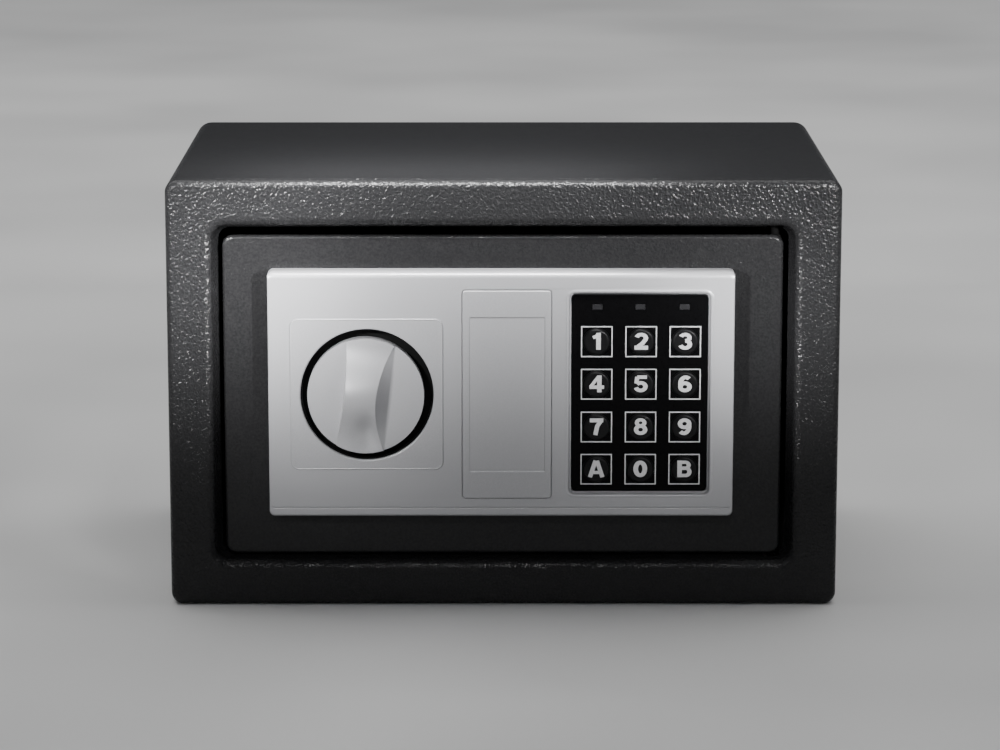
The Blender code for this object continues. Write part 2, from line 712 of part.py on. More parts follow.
def make_grip():
    """The grip bar: narrow and high at its middle, wide and low at its ends, with drafted sides."""
    root = KNOB_FRONT + PAST
    stations = 9

    def build(shape):
        rings = []
        for step in range(stations):
            along = 2 * step / (stations - 1) - 1
            bell = math.cos(along * math.pi / 2) ** 2
            half = GRIP_END_HALF_WIDTH + (GRIP_WAIST_HALF_WIDTH - GRIP_END_HALF_WIDTH) * bell
            rise = GRIP_END_RISE + (GRIP_RISE - GRIP_END_RISE) * bell
            foot = half + rise * math.tan(GRIP_DRAFT)
            limit = math.sqrt(KNOB_RADIUS**2 - (along * GRIP_HALF_LENGTH) ** 2) - KNOB_EDGE
            foot, half = min(foot, limit), min(half, limit - KNOB_EDGE / 2)
            top = KNOB_FRONT - rise
            section = ((-foot, root), (-half, top), (half, top), (foot, root))
            ring = []
            for across, depth in section:
                length = along * GRIP_HALF_LENGTH
                x = across * math.cos(KNOB_LEAN) + length * math.sin(KNOB_LEAN)
                z = length * math.cos(KNOB_LEAN) - across * math.sin(KNOB_LEAN)
                ring.append(shape.verts.new(at(KNOB_X + x, depth, KNOB_Z + z)))
            rings.append(ring)
        for ring, after in zip(rings, rings[1:]):
            for n in range(len(ring)):
                m = (n + 1) % len(ring)
                shape.faces.new((ring[n], ring[m], after[m], after[n]))
        shape.faces.new(rings[0])
        shape.faces.new(rings[-1])

    return mesh_from("knob_grip", build)


def make_drive_cam(axis):
    """The disc on the shaft's end, with the crank pin that moves the bolt carriage."""
    cam = hole("drive_cam", KNOB_X, KNOB_Z, CAM_DEPTH, CAM_RADIUS)
    pin_depth = (CAM_DEPTH[0] + PAST, CRANK_PIN_BACK)
    join(cam, hole("crank_pin", KNOB_X + CRANK_REACH, KNOB_Z + CRANK_REACH, pin_depth, CRANK_PIN_RADIUS))
    through = (CAM_DEPTH[0] - PAST, CAM_DEPTH[1] + PAST)
    cut(cam, hole("cam_screw_hole", KNOB_X, KNOB_Z, through, CAM_SCREW_BORE))
    return finish(cam, "zinc_steel", axis)


def make_knob_screw(axis):
    screw = screw_of("knob_screw", (KNOB_X, KNOB_Z), CAM_SCREW_RADIUS, 2 * CAM_SCREW_RADIUS,
                     (CAM_SCREW_FRONT, CAM_DEPTH[1] + GAP, CAM_SCREW_BACK))
    return finish(screw, "zinc_steel", axis)


def make_carriage(axis):
    """A bar that carries both bolts, and a tongue with the crank slot and the locking tooth."""
    carriage = box("bolt_carriage", CARRIAGE_BAR_X, CARRIAGE_BAR_DEPTH, CARRIAGE_BAR_Z)
    tall = (CARRIAGE_BAR_X[1] - PAST, TONGUE_SHOULDER_X)
    low = (TONGUE_SHOULDER_X - PAST, TONGUE_END_X)
    tooth = (TONGUE_END_X - TOOTH_WIDTH, TONGUE_END_X)
    side = CRANK_PIN_RADIUS + CRANK_CLEARANCE
    slot_z = (KNOB_Z + CRANK_REACH - side, KNOB_Z + CRANK_RADIUS + side)
    slot_depth = (TONGUE_DEPTH[0] - PAST, TONGUE_DEPTH[1] + PAST)
    join(
        carriage,
        box("tongue_tall", tall, TONGUE_DEPTH, TONGUE_TALL_Z),
        box("tongue_low", low, TONGUE_DEPTH, TONGUE_LOW_Z),
        box("tongue_tooth", tooth, TONGUE_DEPTH, (TONGUE_LOW_Z[1] - PAST, TOOTH_TOP)),
    )
    cut(carriage, box("crank_slot", around(KNOB_X + CRANK_REACH, side), slot_depth, slot_z))
    return finish(carriage, "zinc_steel", axis)


def make_bolt(name, z, axis):
    start, end = at(BOLT_TIP_X, BOLT_DEPTH, z), at(BOLT_ROOT_X, BOLT_DEPTH, z)
    bolt = cylinder(name, start, end, BOLT_RADIUS)
    add_bevel(bolt, BOLT_EDGE)
    return finish(bolt, "zinc_steel", axis)


def make_bolt_guide(axis):
    """An angle on the door's back, with a running hole for each bolt."""
    front = DOOR_BACK + GAP
    guide = box("bolt_guide", GUIDE_X, (front, GUIDE_BACK), GUIDE_Z)
    foot_x, foot_depth = (GUIDE_X[0], GUIDE_FOOT_X), (front, front + ANGLE_SHEET)
    join(guide, box("guide_foot", foot_x, foot_depth, GUIDE_Z))
    for place, z in zip(("upper", "lower"), BOLT_Z):
        start, end = at(GUIDE_X[0] - PAST, BOLT_DEPTH, z), at(GUIDE_X[1] + PAST, BOLT_DEPTH, z)
        cut(guide, cylinder("guide_hole_" + place, start, end, BOLT_RADIUS + RUNNING_CLEARANCE))
    return finish(guide, "zinc_steel", axis)


def make_solenoid(axis):
    solenoid = box(
        "solenoid_body",
        around(SOLENOID_X, SOLENOID_HALF_WIDTH),
        (DOOR_BACK + GAP, 2 * SOLENOID_DEPTH - DOOR_BACK - GAP),
        SOLENOID_Z,
    )
    low = at(SOLENOID_X, SOLENOID_DEPTH, SOLENOID_Z[0] - PAST)
    high = at(SOLENOID_X, SOLENOID_DEPTH, SOLENOID_Z[1] + PAST)
    cut(solenoid, cylinder("solenoid_bore", low, high, PLUNGER_RADIUS + RUNNING_CLEARANCE))
    return finish(solenoid, "zinc_steel", axis)


def make_plunger(axis):
    """The pin that drops behind the carriage's tooth, with a collar for its spring."""
    low = at(SOLENOID_X, SOLENOID_DEPTH, PLUNGER_TIP_Z)
    high = at(SOLENOID_X, SOLENOID_DEPTH, PLUNGER_TOP_Z)
    plunger = cylinder("solenoid_plunger", low, high, PLUNGER_RADIUS)
    collar_low = at(SOLENOID_X, SOLENOID_DEPTH, PLUNGER_COLLAR_Z[0])
    collar_high = at(SOLENOID_X, SOLENOID_DEPTH, PLUNGER_COLLAR_Z[1])
    join(plunger, cylinder("plunger_collar", collar_low, collar_high, PLUNGER_COLLAR_RADIUS))
    return finish(plunger, "zinc_steel", axis)


def make_plunger_spring(axis):
    """A coil between the collar and the solenoid."""
    wire, turns, steps = 0.0003, 4, 10
    radius = PLUNGER_RADIUS + wire + GAP
    bottom = PLUNGER_COLLAR_Z[1] + GAP + wire
    top = SOLENOID_Z[0] - GAP - wire
    count = turns * steps + 1
    curve = bpy.data.curves.new("plunger_spring", "CURVE")
    curve.dimensions = "3D"
    curve.bevel_depth = wire
    curve.bevel_resolution = 0
    curve.use_fill_caps = True
    spline = curve.splines.new("POLY")
    spline.points.add(count - 1)
    for n, point in enumerate(spline.points):
        turn = 2 * math.pi * n / steps
        centre = at(SOLENOID_X, SOLENOID_DEPTH, bottom + (top - bottom) * n / (count - 1))
        point.co = (*(centre + radius * Vector((math.cos(turn), math.sin(turn), 0))), 1)
    spring = mesh_of_curve("plunger_spring", add_object("plunger_spring_line", curve))
    return finish(spring, "zinc_steel", axis)


# ---- Emergency lock and its cover --------------------------------------------------


def make_lock_cylinder(axis):
    front, bore = COVER_BACK + 2 * GAP, PLUG_RADIUS + GAP
    outer = [(LOCK_RADIUS, front), (LOCK_RADIUS, LOCK_BACK)]
    profile = [(bore, front), *outer, (bore, LOCK_BACK), (bore, front)]
    return finish(turned("lock_cylinder", profile, (LOCK_X, LOCK_Z)), "zinc_steel", axis)


def make_lock_plug(axis):
    plug = hole("lock_plug", LOCK_X, LOCK_Z, (COVER_BACK + 2 * GAP, PLUG_BACK), PLUG_RADIUS)
    wide, high = around(LOCK_X, KEYWAY_HALF_WIDTH), around(LOCK_Z, KEYWAY_HALF_HEIGHT)
    cut(plug, box("keyway", wide, (COVER_BACK, KEYWAY_BACK), high))
    return finish(plug, "brass", axis)


def make_lock_cam(axis):
    """The blade on the plug's tail that frees the bolt work."""
    wide, high = around(LOCK_X, LOCK_CAM_HALF_WIDTH), (LOCK_Z - LOCK_CAM_DROP, LOCK_Z + LOCK_CAM_RISE)
    front = PLUG_BACK + GAP
    corner = LOCK_CAM_HALF_WIDTH - GAP / 3
    cam = plate("lock_cam", wide, (front, front + LOCK_CAM_SHEET), high, corner)
    return finish(cam, "zinc_steel", axis)


def make_key_cover(axis):
    cover = plate(
        "key_cover",
        (COVER_LEFT, COVER_RIGHT),
        (COVER_FRONT, COVER_BACK),
        (COVER_BOTTOM, COVER_TOP),
        COVER_CORNER,
    )
    x0, x1, z0, z1 = COVER_RECESS
    span = (COVER_FRONT - PAST, COVER_FRONT + COVER_RECESS_DEPTH)
    cut(cover, plate("cover_recess", (x0, x1), span, (z0, z1), COVER_CORNER))
    return finish(cover, "silver_plastic", axis)


# ---- Inside of the door ------------------------------------------------------------


def make_inner_cover(axis):
    """A folded cover with a flange at its top and bottom, open towards the bolt guide."""
    front, back = DOOR_BACK + GAP, INNER_BACK - INNER_SHEET
    bottom, top = INNER_BOTTOM + INNER_SHEET, INNER_TOP - INNER_SHEET
    profile = (
        (INNER_BOTTOM - INNER_FLANGE, front),
        (bottom, front),
        (bottom, back),
        (top, back),
        (top, front),
        (INNER_TOP + INNER_FLANGE, front),
    )

    def build(shape):
        left = [shape.verts.new(at(INNER_LEFT, depth, z)) for z, depth in profile]
        end = INNER_RIGHT - INNER_SHEET
        right = [shape.verts.new(at(end, depth, z)) for z, depth in profile]
        for n in range(len(profile) - 1):
            shape.faces.new((left[n], right[n], right[n + 1], left[n + 1]))
        shape.faces.new(right[1:5])

    cover = mesh_from("inner_cover", build)
    solid = cover.modifiers.new("sheet", "SOLIDIFY")
    solid.thickness = INNER_SHEET
    solid.offset = -1
    solid.use_even_offset = True
    span = (back - PAST, INNER_BACK + PAST)
    cut(
        cover,
        box("cell_opening", CELL_OPENING_X, span, CELL_OPENING_Z),
        hole("reset_hole", RESET_X, RESET_Z, span, RESET_HOLE_RADIUS),
    )
    for name, x, z in screw_places():
        ends = (front - PAST, front + INNER_SHEET + PAST)
        cut(cover, hole(name + "_hole", x, z, ends, COVER_SCREW_RADIUS + GAP))
    return finish(cover, "black_plastic", axis)


def screw_places():
    """Name, x and z of each cover screw."""
    reach = INNER_FLANGE / 2 + GAP
    places = []
    for z in (INNER_TOP + reach, INNER_BOTTOM - reach):
        for x in (INNER_LEFT + COVER_SCREW_INSET, INNER_RIGHT - COVER_SCREW_INSET):
            places.append((f"cover_screw_{len(places) + 1}", x, z))
    return places


def make_cover_screw(name, x, z, axis):
    head = DOOR_BACK + 2 * GAP + INNER_SHEET
    depths = (DOOR_BACK + GAP, head, head + COVER_SCREW_RISE)
    screw = screw_of(name, (x, z), COVER_SCREW_RADIUS, COVER_SCREW_HEAD, depths)
    return finish(screw, "zinc_steel", axis)


def make_battery_tray(axis):
    side = CELL_RADIUS + TRAY_SPARE
    x_range = (CELL_X[0] - side, CELL_X[-1] + side)
    z_range = (CELL_BOTTOM - TRAY_SPARE, CELL_BOTTOM + CELL_LENGTH + TRAY_SPARE)
    front, back = CELL_DEPTH - side, INNER_BACK - INNER_SHEET - GAP
    outer_x = (x_range[0] - TRAY_WALL, x_range[1] + TRAY_WALL)
    outer_z = (z_range[0] - TRAY_WALL, z_range[1] + TRAY_WALL)
    tray = box("battery_tray", outer_x, (front - TRAY_WALL, back), outer_z)
    cut(tray, box("tray_hollow", x_range, (front, back + PAST), z_range))
    return finish(tray, "black_plastic", axis)


def make_cell(name, x, axis):
    low, high = at(x, CELL_DEPTH, CELL_BOTTOM), at(x, CELL_DEPTH, CELL_BOTTOM + CELL_LENGTH)
    rise = Vector((0, 0, CELL_BUTTON_RISE))
    cell = cylinder(name, low, high - rise, CELL_RADIUS, sides=20)
    join(cell, cylinder(name + "_button", high - 2 * rise, high, CELL_BUTTON_RADIUS, sides=12))
    return finish(cell, "cell_wrap", axis)


def make_battery_lid(axis):
    front = INNER_BACK + GAP
    lid = plate("battery_lid", LID_X, (front, front + LID_SHEET), LID_Z, LID_CORNER)
    return finish(lid, "black_plastic", axis)


def make_reset_button(axis):
    span = (INNER_BACK - 2 * RESET_RISE, INNER_BACK + RESET_RISE)
    button = hole("reset_button", RESET_X, RESET_Z, span, RESET_RADIUS)
    return finish(button, "red_plastic", axis)


# ---- Assembly ----------------------------------------------------------------------


def build_body():
    make_body_shell()
    make_back_panel()
    make_front_frame()
    make_hinge_bracket("upper", 1)
    make_hinge_bracket("lower", -1)
    make_strike_plate()
    make_floor_mat()


def build_door(door_axis):
    make_door_plate(door_axis)
    make_hinge_arm("upper", 1, DOOR_TOP, door_axis)
    make_hinge_arm("lower", -1, DOOR_BOTTOM, door_axis)
    make_front_panel(door_axis)
    make_keypad_overlay(door_axis)
    make_circuit_board(door_axis)
    make_cable(door_axis)
    for name, x in zip(("lens_left", "lens_middle", "lens_right"), LENS_X):
        make_lens(name, x, door_axis)
    make_lock_cylinder(door_axis)
    make_bolt_guide(door_axis)
    make_solenoid(door_axis)
    make_inner_cover(door_axis)
    for name, x, z in screw_places():
        make_cover_screw(name, x, z, door_axis)
    make_battery_tray(door_axis)
    for number, x in enumerate(CELL_X, start=1):
        make_cell(f"battery_{number}", x, door_axis)


def build_moving_pieces():
    knob_axis = add_empty("knob_axis", at(KNOB_X, KNOB_FRONT, KNOB_Z))
    make_knob(knob_axis)
    make_drive_cam(knob_axis)
    make_knob_screw(knob_axis)
    carriage_axis = add_empty("carriage_axis", at(CARRIAGE_BAR_X[0], BOLT_DEPTH, MIDDLE))
    make_carriage(carriage_axis)
    for name, z in zip(("bolt_upper", "bolt_lower"), BOLT_Z):
        make_bolt(name, z, carriage_axis)
    plunger_axis = add_empty("plunger_axis", at(SOLENOID_X, SOLENOID_DEPTH, PLUNGER_TIP_Z))
    make_plunger(plunger_axis)
    make_plunger_spring(plunger_axis)
    lock_axis = add_empty("lock_axis", at(LOCK_X, COVER_BACK, LOCK_Z))
    make_lock_plug(lock_axis)
    make_lock_cam(lock_axis)
    make_key_cover(add_empty("key_cover_axis", at(LOCK_X, COVER_BACK, MIDDLE)))
    make_battery_lid(add_empty("battery_lid_axis", at(CELL_X[1], INNER_BACK, MIDDLE)))
    make_reset_button(add_empty("reset_axis", at(RESET_X, INNER_BACK, RESET_Z)))
    for names, z in zip(KEY_NAMES, KEY_ROWS):
        for name, x in zip(names, KEY_COLUMNS):
            make_key(name, x, z, add_empty(name + "_axis", at(x, OVERLAY_FRONT, z)))


build_body()
build_door(add_empty("door_axis", at(HINGE_X, HINGE_DEPTH, MIDDLE)))
build_moving_pieces()
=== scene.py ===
"""Looks of the small electronic safe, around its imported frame.

Metres, +Z up, +X to the right of someone facing the door, +Y towards the back.
A depth is measured back from the front face.
"""
import math

import bmesh
import bpy
from mathutils import Matrix, Vector


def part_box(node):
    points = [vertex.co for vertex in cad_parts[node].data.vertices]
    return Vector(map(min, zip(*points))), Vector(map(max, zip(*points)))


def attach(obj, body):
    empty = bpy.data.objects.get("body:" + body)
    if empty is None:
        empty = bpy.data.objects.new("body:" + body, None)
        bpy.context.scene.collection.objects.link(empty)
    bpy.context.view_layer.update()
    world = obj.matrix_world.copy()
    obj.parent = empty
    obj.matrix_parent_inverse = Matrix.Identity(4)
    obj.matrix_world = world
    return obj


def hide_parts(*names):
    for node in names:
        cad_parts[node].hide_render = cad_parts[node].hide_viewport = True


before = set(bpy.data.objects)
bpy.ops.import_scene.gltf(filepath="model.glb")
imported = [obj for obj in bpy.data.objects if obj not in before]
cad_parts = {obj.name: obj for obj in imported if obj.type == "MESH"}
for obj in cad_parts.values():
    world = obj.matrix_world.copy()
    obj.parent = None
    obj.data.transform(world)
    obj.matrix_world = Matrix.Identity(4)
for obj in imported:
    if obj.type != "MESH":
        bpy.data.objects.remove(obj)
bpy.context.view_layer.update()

# ---- Sizes, in metres ----

MM = 0.001


def mm(*values):
    """Lengths given in millimetres."""
    return [value * MM for value in values]


STEPS = 10  # segments in a quarter of a round corner
ROUND = 96  # segments in a full circle

BODY_LOW, BODY_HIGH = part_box("front_frame")
FACE = BODY_LOW.y  # the front face
HALF_WIDTH = BODY_HIGH.x
HEIGHT = BODY_HIGH.z
MIDDLE = HEIGHT / 2
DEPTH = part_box("back_panel")[1].y - FACE

FRONT_CORNER, BACK_CORNER = mm(5.8, 7.6)
SHEET = 2.0 * MM
FRAME_SHEET = 1.5 * MM
FRAME_EDGE, FRAME_FOLD = mm(5.0, 3.2)  # how far back the frame reaches, and its bend
OPENING_HALF_WIDTH, OPENING_HALF_HEIGHT = mm(133.5, 78.5)
OPENING_CORNER, OPENING_FOLD = mm(6.5, 4.5)
OPENING_DEPTH = 9.8 * MM
FLANGE_HALF_WIDTH, FLANGE_HALF_HEIGHT = mm(131.2, 77.1)
ANCHOR_XS, ANCHOR_RADIUS = (-90.0 * MM, 90.0 * MM), 5.0 * MM
HINGE_X, HINGE_DEPTH = mm(125.0, 10.0)

KNOB_X, KNOB_Z = mm(-63.5, 100.4)
KNOB_RADIUS = 26.9 * MM
WELL_X, WELL_Z, WELL_RADIUS = mm(-62.9, 100.9, 30.7)
WELL_LIP, WELL_SLANT = mm(0.7, 0.3)  # the lip is wider at its lower left
LOCK_X, LOCK_Z, LOCK_RADIUS = mm(1.5, 110.0, 9.5)
KEY_RADIUS = 6.25 * MM
BOLT_RADIUS, BOLT_DEPTH, BOLT_HEIGHTS = 8.0 * MM, 22.0 * MM, (142.5 * MM, 58.5 * MM)
BODY_AREA = -HALF_WIDTH, HALF_WIDTH, 0.0, HEIGHT  # x0, x1, z0 and z1, as every area


def at(x, depth, z):
    """A point from its x, its depth behind the front face and its height."""
    return Vector((x, FACE + depth, z))


def limits(node):
    """x0, x1, front depth, back depth, z0 and z1 of a CAD node."""
    low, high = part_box(node)
    return low.x, high.x, low.y - FACE, high.y - FACE, low.z, high.z


def depths_of(node):
    """Front and back depth of a CAD node."""
    return limits(node)[2:4]


def area_of(node, gap=0.0):
    """The area of a CAD node seen from the front, larger by a gap all round."""
    x0, x1, _, _, z0, z1 = limits(node)
    return x0 - gap, x1 + gap, z0 - gap, z1 + gap


def middle_of(node):
    """x and z of the middle of a CAD node."""
    x0, x1, z0, z1 = area_of(node)
    return (x0 + x1) / 2, (z0 + z1) / 2


def centred(half_width, half_height):
    """An area around the middle of the front."""
    return -half_width, half_width, MIDDLE - half_height, MIDDLE + half_height


def in_mm(*pairs):
    """Pairs of lengths, given in millimetres."""
    return [(first * MM, second * MM) for first, second in pairs]


# ---- Materials ----


class Finish:
    """A Principled material whose colour, roughness and relief come from noise in the piece's own space."""

    def __init__(self, name, colour, roughness, metallic, **sockets):
        self.material = bpy.data.materials.new(name)
        self.material.use_nodes = True
        self.nodes = self.material.node_tree.nodes
        self.links = self.material.node_tree.links
        self.shader = self.nodes["Principled BSDF"]
        self.colour = colour
        self.shader.inputs["Base Color"].default_value = (*colour, 1)
        self.shader.inputs["Roughness"].default_value = roughness
        self.shader.inputs["Metallic"].default_value = metallic
        for socket, value in sockets.items():
            self.shader.inputs[socket.replace("_", " ")].default_value = value
        self.place = self.nodes.new("ShaderNodeTexCoord").outputs["Object"]

    def noise(self, size, detail=2.0, stretch=(1, 1, 1), distortion=0.0):
        """Noise whose features are about size millimetres across."""
        mapping = self.nodes.new("ShaderNodeMapping")
        mapping.inputs["Scale"].default_value = [1 / (size * MM * s) for s in stretch]
        self.links.new(self.place, mapping.inputs["Vector"])
        noise = self.nodes.new("ShaderNodeTexNoise")
        noise.inputs["Scale"].default_value = 1.0
        noise.inputs["Detail"].default_value = detail
        noise.inputs["Distortion"].default_value = distortion
        self.links.new(mapping.outputs["Vector"], noise.inputs["Vector"])
        return noise.outputs["Fac"]

    def spread(self, value, low, high, start=0.3, end=0.7):
        """Map a noise value from start..end to low..high."""
        node = self.nodes.new("ShaderNodeMapRange")
        for socket, number in zip(("From Min", "From Max", "To Min", "To Max"), (start, end, low, high)):
            node.inputs[socket].default_value = number
        self.links.new(value, node.inputs["Value"])
        return node.outputs["Result"]

    def vary_colour(self, value, other):
        """Mix the colour towards another one by a noise value."""
        mix = self.nodes.new("ShaderNodeMix")
        mix.data_type = "RGBA"
        mix.inputs["A"].default_value = (*self.colour, 1)
        mix.inputs["B"].default_value = (*other, 1)
        self.links.new(self.spread(value, 0, 1, 0.35, 0.65), mix.inputs["Factor"])
        self.links.new(mix.outputs["Result"], self.shader.inputs["Base Color"])

    def vary_roughness(self, value, low, high):
        self.links.new(self.spread(value, low, high), self.shader.inputs["Roughness"])

    def relief(self, *layers):
        """Bump from (noise value, height in metres) layers."""
        normal = None
        for value, height in layers:
            bump = self.nodes.new("ShaderNodeBump")
            bump.inputs["Strength"].default_value = 1.0
            bump.inputs["Distance"].default_value = height
            self.links.new(value, bump.inputs["Height"])
            if normal:
                self.links.new(normal, bump.inputs["Normal"])
            normal = bump.outputs["Normal"]
        self.links.new(normal, self.shader.inputs["Normal"])


def coat(name, colour, other, mottle, rough, gloss=None, layers=(), metallic=0.0, **sockets):
    """A finish: mottle is the noise between its two colours, gloss the noise, low and high of its
    roughness, and layers the noises and heights of its bumps. A noise is its size in millimetres, its
    detail and, if they matter, its stretch and distortion; heights are in millimetres too.
    """
    finish = Finish(name, colour, rough, metallic, **sockets)
    finish.vary_colour(finish.noise(*mottle), other)
    if gloss:
        finish.vary_roughness(finish.noise(*gloss[0]), *gloss[1:])
    if layers:
        finish.relief(*[(finish.noise(*noise), height * MM) for noise, height in layers])
    return finish.material


def powder_coat(name, bump_height):
    """Dark textured powder coat: close, soft-edged bumps about a millimetre across."""
    colours = (0.010, 0.010, 0.0107), (0.016, 0.016, 0.0165)
    bumps = ((1.45, 1.2, (1, 1, 1), 0.5), bump_height), ((0.5, 1), 0.04)
    return coat(name, *colours, (0.9, 3), 0.20, ((6, 2), 0.23, 0.26), bumps, Specular_IOR_Level=0.26)


def plain(name, colour, other, rough, grain, height, metallic=0.0, specular=0.5):
    """A moulded, printed or sleeved surface; its grain's size and height are in millimetres."""
    gloss = (6 * grain, 2), rough * 0.88, rough * 1.12
    bumps = [((grain, 2), height)]
    sockets = {"Specular_IOR_Level": specular}
    return coat(name, colour, other, (4 * grain, 3), rough, gloss, bumps, metallic, **sockets)


MATERIALS = {
    "charcoal_paint": powder_coat("charcoal_powder_coat", 0.55),
    "door_paint": powder_coat("door_powder_coat", 0.22),
    "silver_plastic": coat(
        "satin_silver_paint", (0.47, 0.47, 0.485), (0.41, 0.41, 0.425), (0.22, 1), 0.36,
        ((0.6, 3), 0.34, 0.42), [((0.3, 2), 0.006)], 0.34,
    ),
    "zinc_steel": coat(
        "zinc_plated_steel", (0.60, 0.61, 0.62), (0.52, 0.53, 0.56), (9, 3), 0.30,
        ((2.5, 4, (6, 1, 1)), 0.22, 0.42), [((0.35, 2, (12, 1, 1)), 0.01)], 1.0,
    ),
    "brass": coat(
        "turned_brass", (0.66, 0.49, 0.22), (0.55, 0.39, 0.16), (3, 3), 0.28, ((0.8, 3), 0.22, 0.38), (), 1.0,
    ),
    "grey_felt": coat(
        "grey_felt", (0.085, 0.087, 0.092), (0.15, 0.152, 0.16), (0.7, 4, (3, 1, 1)), 0.95, None,
        [((0.5, 4, (4, 1, 1)), 0.4), ((0.5, 4, (1, 4, 1)), 0.4)], Sheen_Weight=0.4, Sheen_Roughness=0.5,
    ),
    "black_overlay": plain(
        "black_keypad_film", (0.002, 0.002, 0.0022), (0.003, 0.003, 0.0033), 0.30, 0.25, 0.004, specular=0.05,
    ),
    "key_rubber": plain(
        "key_film", (0.003, 0.003, 0.0033), (0.005, 0.005, 0.0055), 0.40, 0.25, 0.004, specular=0.20,
    ),
    "lens_grey": plain(
        "smoked_lens", (0.016, 0.016, 0.017), (0.020, 0.020, 0.022), 0.40, 0.5, 0.003, specular=0.12,
    ),
    "circuit_green": plain("solder_mask", (0.012, 0.10, 0.035), (0.02, 0.14, 0.05), 0.4, 0.8, 0.01),
    "black_plastic": plain("black_moulding", (0.020, 0.020, 0.021), (0.027, 0.027, 0.028), 0.48, 0.5, 0.03),
    "cell_wrap": plain("cell_sleeve", (0.03, 0.075, 0.17), (0.04, 0.09, 0.20), 0.3, 1.5, 0.01),
    "red_plastic": plain("red_moulding", (0.45, 0.02, 0.02), (0.52, 0.03, 0.03), 0.3, 0.8, 0.01),
    "label_print": plain("silver_print", (0.60, 0.60, 0.61), (0.70, 0.70, 0.71), 0.45, 0.2, 0.01, 0.15),
    # near-black with little shine: painted shade for the shadowed well round the knob
    "painted_shade_black": plain(
        "well_painted_shade", (0.003, 0.003, 0.003), (0.004, 0.004, 0.004), 0.6, 0.4, 0.01, specular=0.1,
    ),
    # near-black with almost no shine: a dark hinge finish, and also painted shade so the hinges read as the
    # shadowed gap
    "hinge_black_and_painted_shade": plain(
        "hinge_paint_and_painted_shade", (0.002, 0.002, 0.002), (0.003, 0.003, 0.003), 0.6, 0.8, 0.02, specular=0.03,
    ),
    "cell_metal": plain("cell_cap", (0.62, 0.62, 0.62), (0.55, 0.55, 0.56), 0.3, 0.6, 0.005, 1.0),
}


# ---- Building pieces ----


def add_piece(name, mesh, body, look, replaces=(), sharp=32.0):
    """Put a finished mesh in the scene: smooth rounds, flat flats, a look, a body and what it stands for."""
    item = bpy.data.objects.new(name, mesh)
    bpy.context.scene.collection.objects.link(item)
    mesh.materials.clear()
    mesh.materials.append(MATERIALS[look])
    mesh.shade_smooth()
    mesh.set_sharp_from_angle(angle=math.radians(sharp))
    weight = item.modifiers.new("flat_faces", "WEIGHTED_NORMAL")
    weight.keep_sharp = True
    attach(item, body)
    if replaces:
        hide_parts(*replaces)
    return item


def finished(shape, name):
    """The mesh of a bmesh, which is freed."""
    mesh = bpy.data.meshes.new(name)
    shape.to_mesh(mesh)
    shape.free()
    return mesh


class Skin:
    """A mesh made of rings of points that are bridged to each other and filled."""

    def __init__(self):
        self.shape = bmesh.new()

    def ring(self, points):
        return [self.shape.verts.new(point) for point in points]

    def bridge(self, ring, after):
        for corners in zip(ring, ring[1:] + ring[:1], after[1:] + after[:1], after):
            self.shape.faces.new(corners)

    def run(self, outlines):
        """Bridge outlines one after another, and return the first and last ring."""
        rings = [self.ring(points) for points in outlines]
        for ring, after in zip(rings, rings[1:]):
            self.bridge(ring, after)
        return rings[0], rings[-1]

    def fill(self, *rings):
        """Fill the flat area inside the first ring and outside the others."""
        edges = []
        for ring in rings:
            for pair in zip(ring, ring[1:] + ring[:1]):
                edges.append(self.shape.edges.get(pair) or self.shape.edges.new(pair))
        bmesh.ops.triangle_fill(self.shape, use_beauty=True, use_dissolve=False, edges=edges)

    def mesh(self, name):
        bmesh.ops.recalc_face_normals(self.shape, faces=self.shape.faces)
        return finished(self.shape, name)


def rounded(x0, x1, z0, z1, radius, depth, steps=STEPS):
    """The points around an upright rectangle with round corners."""
    radius = max(radius, 0.05 * MM)
    left, right, low, high = x0 + radius, x1 - radius, z0 + radius, z1 - radius
    points = []
    for quarter, (x, z) in enumerate(((right, high), (left, high), (left, low), (right, low))):
        for step in range(steps + 1):
            turn = (quarter + step / steps) * math.pi / 2
            points.append(at(x + radius * math.cos(turn), depth, z + radius * math.sin(turn)))
    return points


def inset(area, by, radius, depth, steps=STEPS):
    """The points of a rounded rectangle that lies inside an area by a distance."""
    x0, x1, z0, z1 = area
    return rounded(x0 + by, x1 - by, z0 + by, z1 - by, radius - by, depth, steps)


def circle(x, z, radius, depth, sides=ROUND):
    turns = [2 * math.pi * n / sides for n in range(sides)]
    return [at(x + radius * math.cos(t), depth, z + radius * math.sin(t)) for t in turns]


def round_over(radius, steps=6):
    """(inset, drop) pairs round an outer edge, from its side to its face."""
    turns = [math.pi / 2 * n / steps for n in range(steps + 1)]
    return [(radius * (1 - math.cos(t)), radius * (1 - math.sin(t))) for t in turns]


def plate(name, area, front, back, corner, edge, body, look, replaces=(), holes=()):
    """A flat plate with rounded edges; holes are (x, z, radius) or (x0, x1, z0, z1, corner)."""
    skin = Skin()
    outlines = [inset(area, by, corner, back - drop) for by, drop in reversed(round_over(edge / 2, 3))]
    outlines += [inset(area, by, corner, front + drop) for by, drop in round_over(edge)]
    rear, face = skin.run(outlines)
    front_holes, back_holes = [], []
    for hole in holes:
        if len(hole) == 3:
            outlines = [circle(*hole, depth, 48) for depth in (front, back)]
        else:
            outlines = [rounded(*hole, depth, 4) for depth in (front, back)]
        ends = skin.run(outlines)
        front_holes.append(ends[0])
        back_holes.append(ends[1])
    skin.fill(face, *front_holes)
    skin.fill(rear, *back_holes)
    return add_piece(name, skin.mesh(name), body, look, replaces)


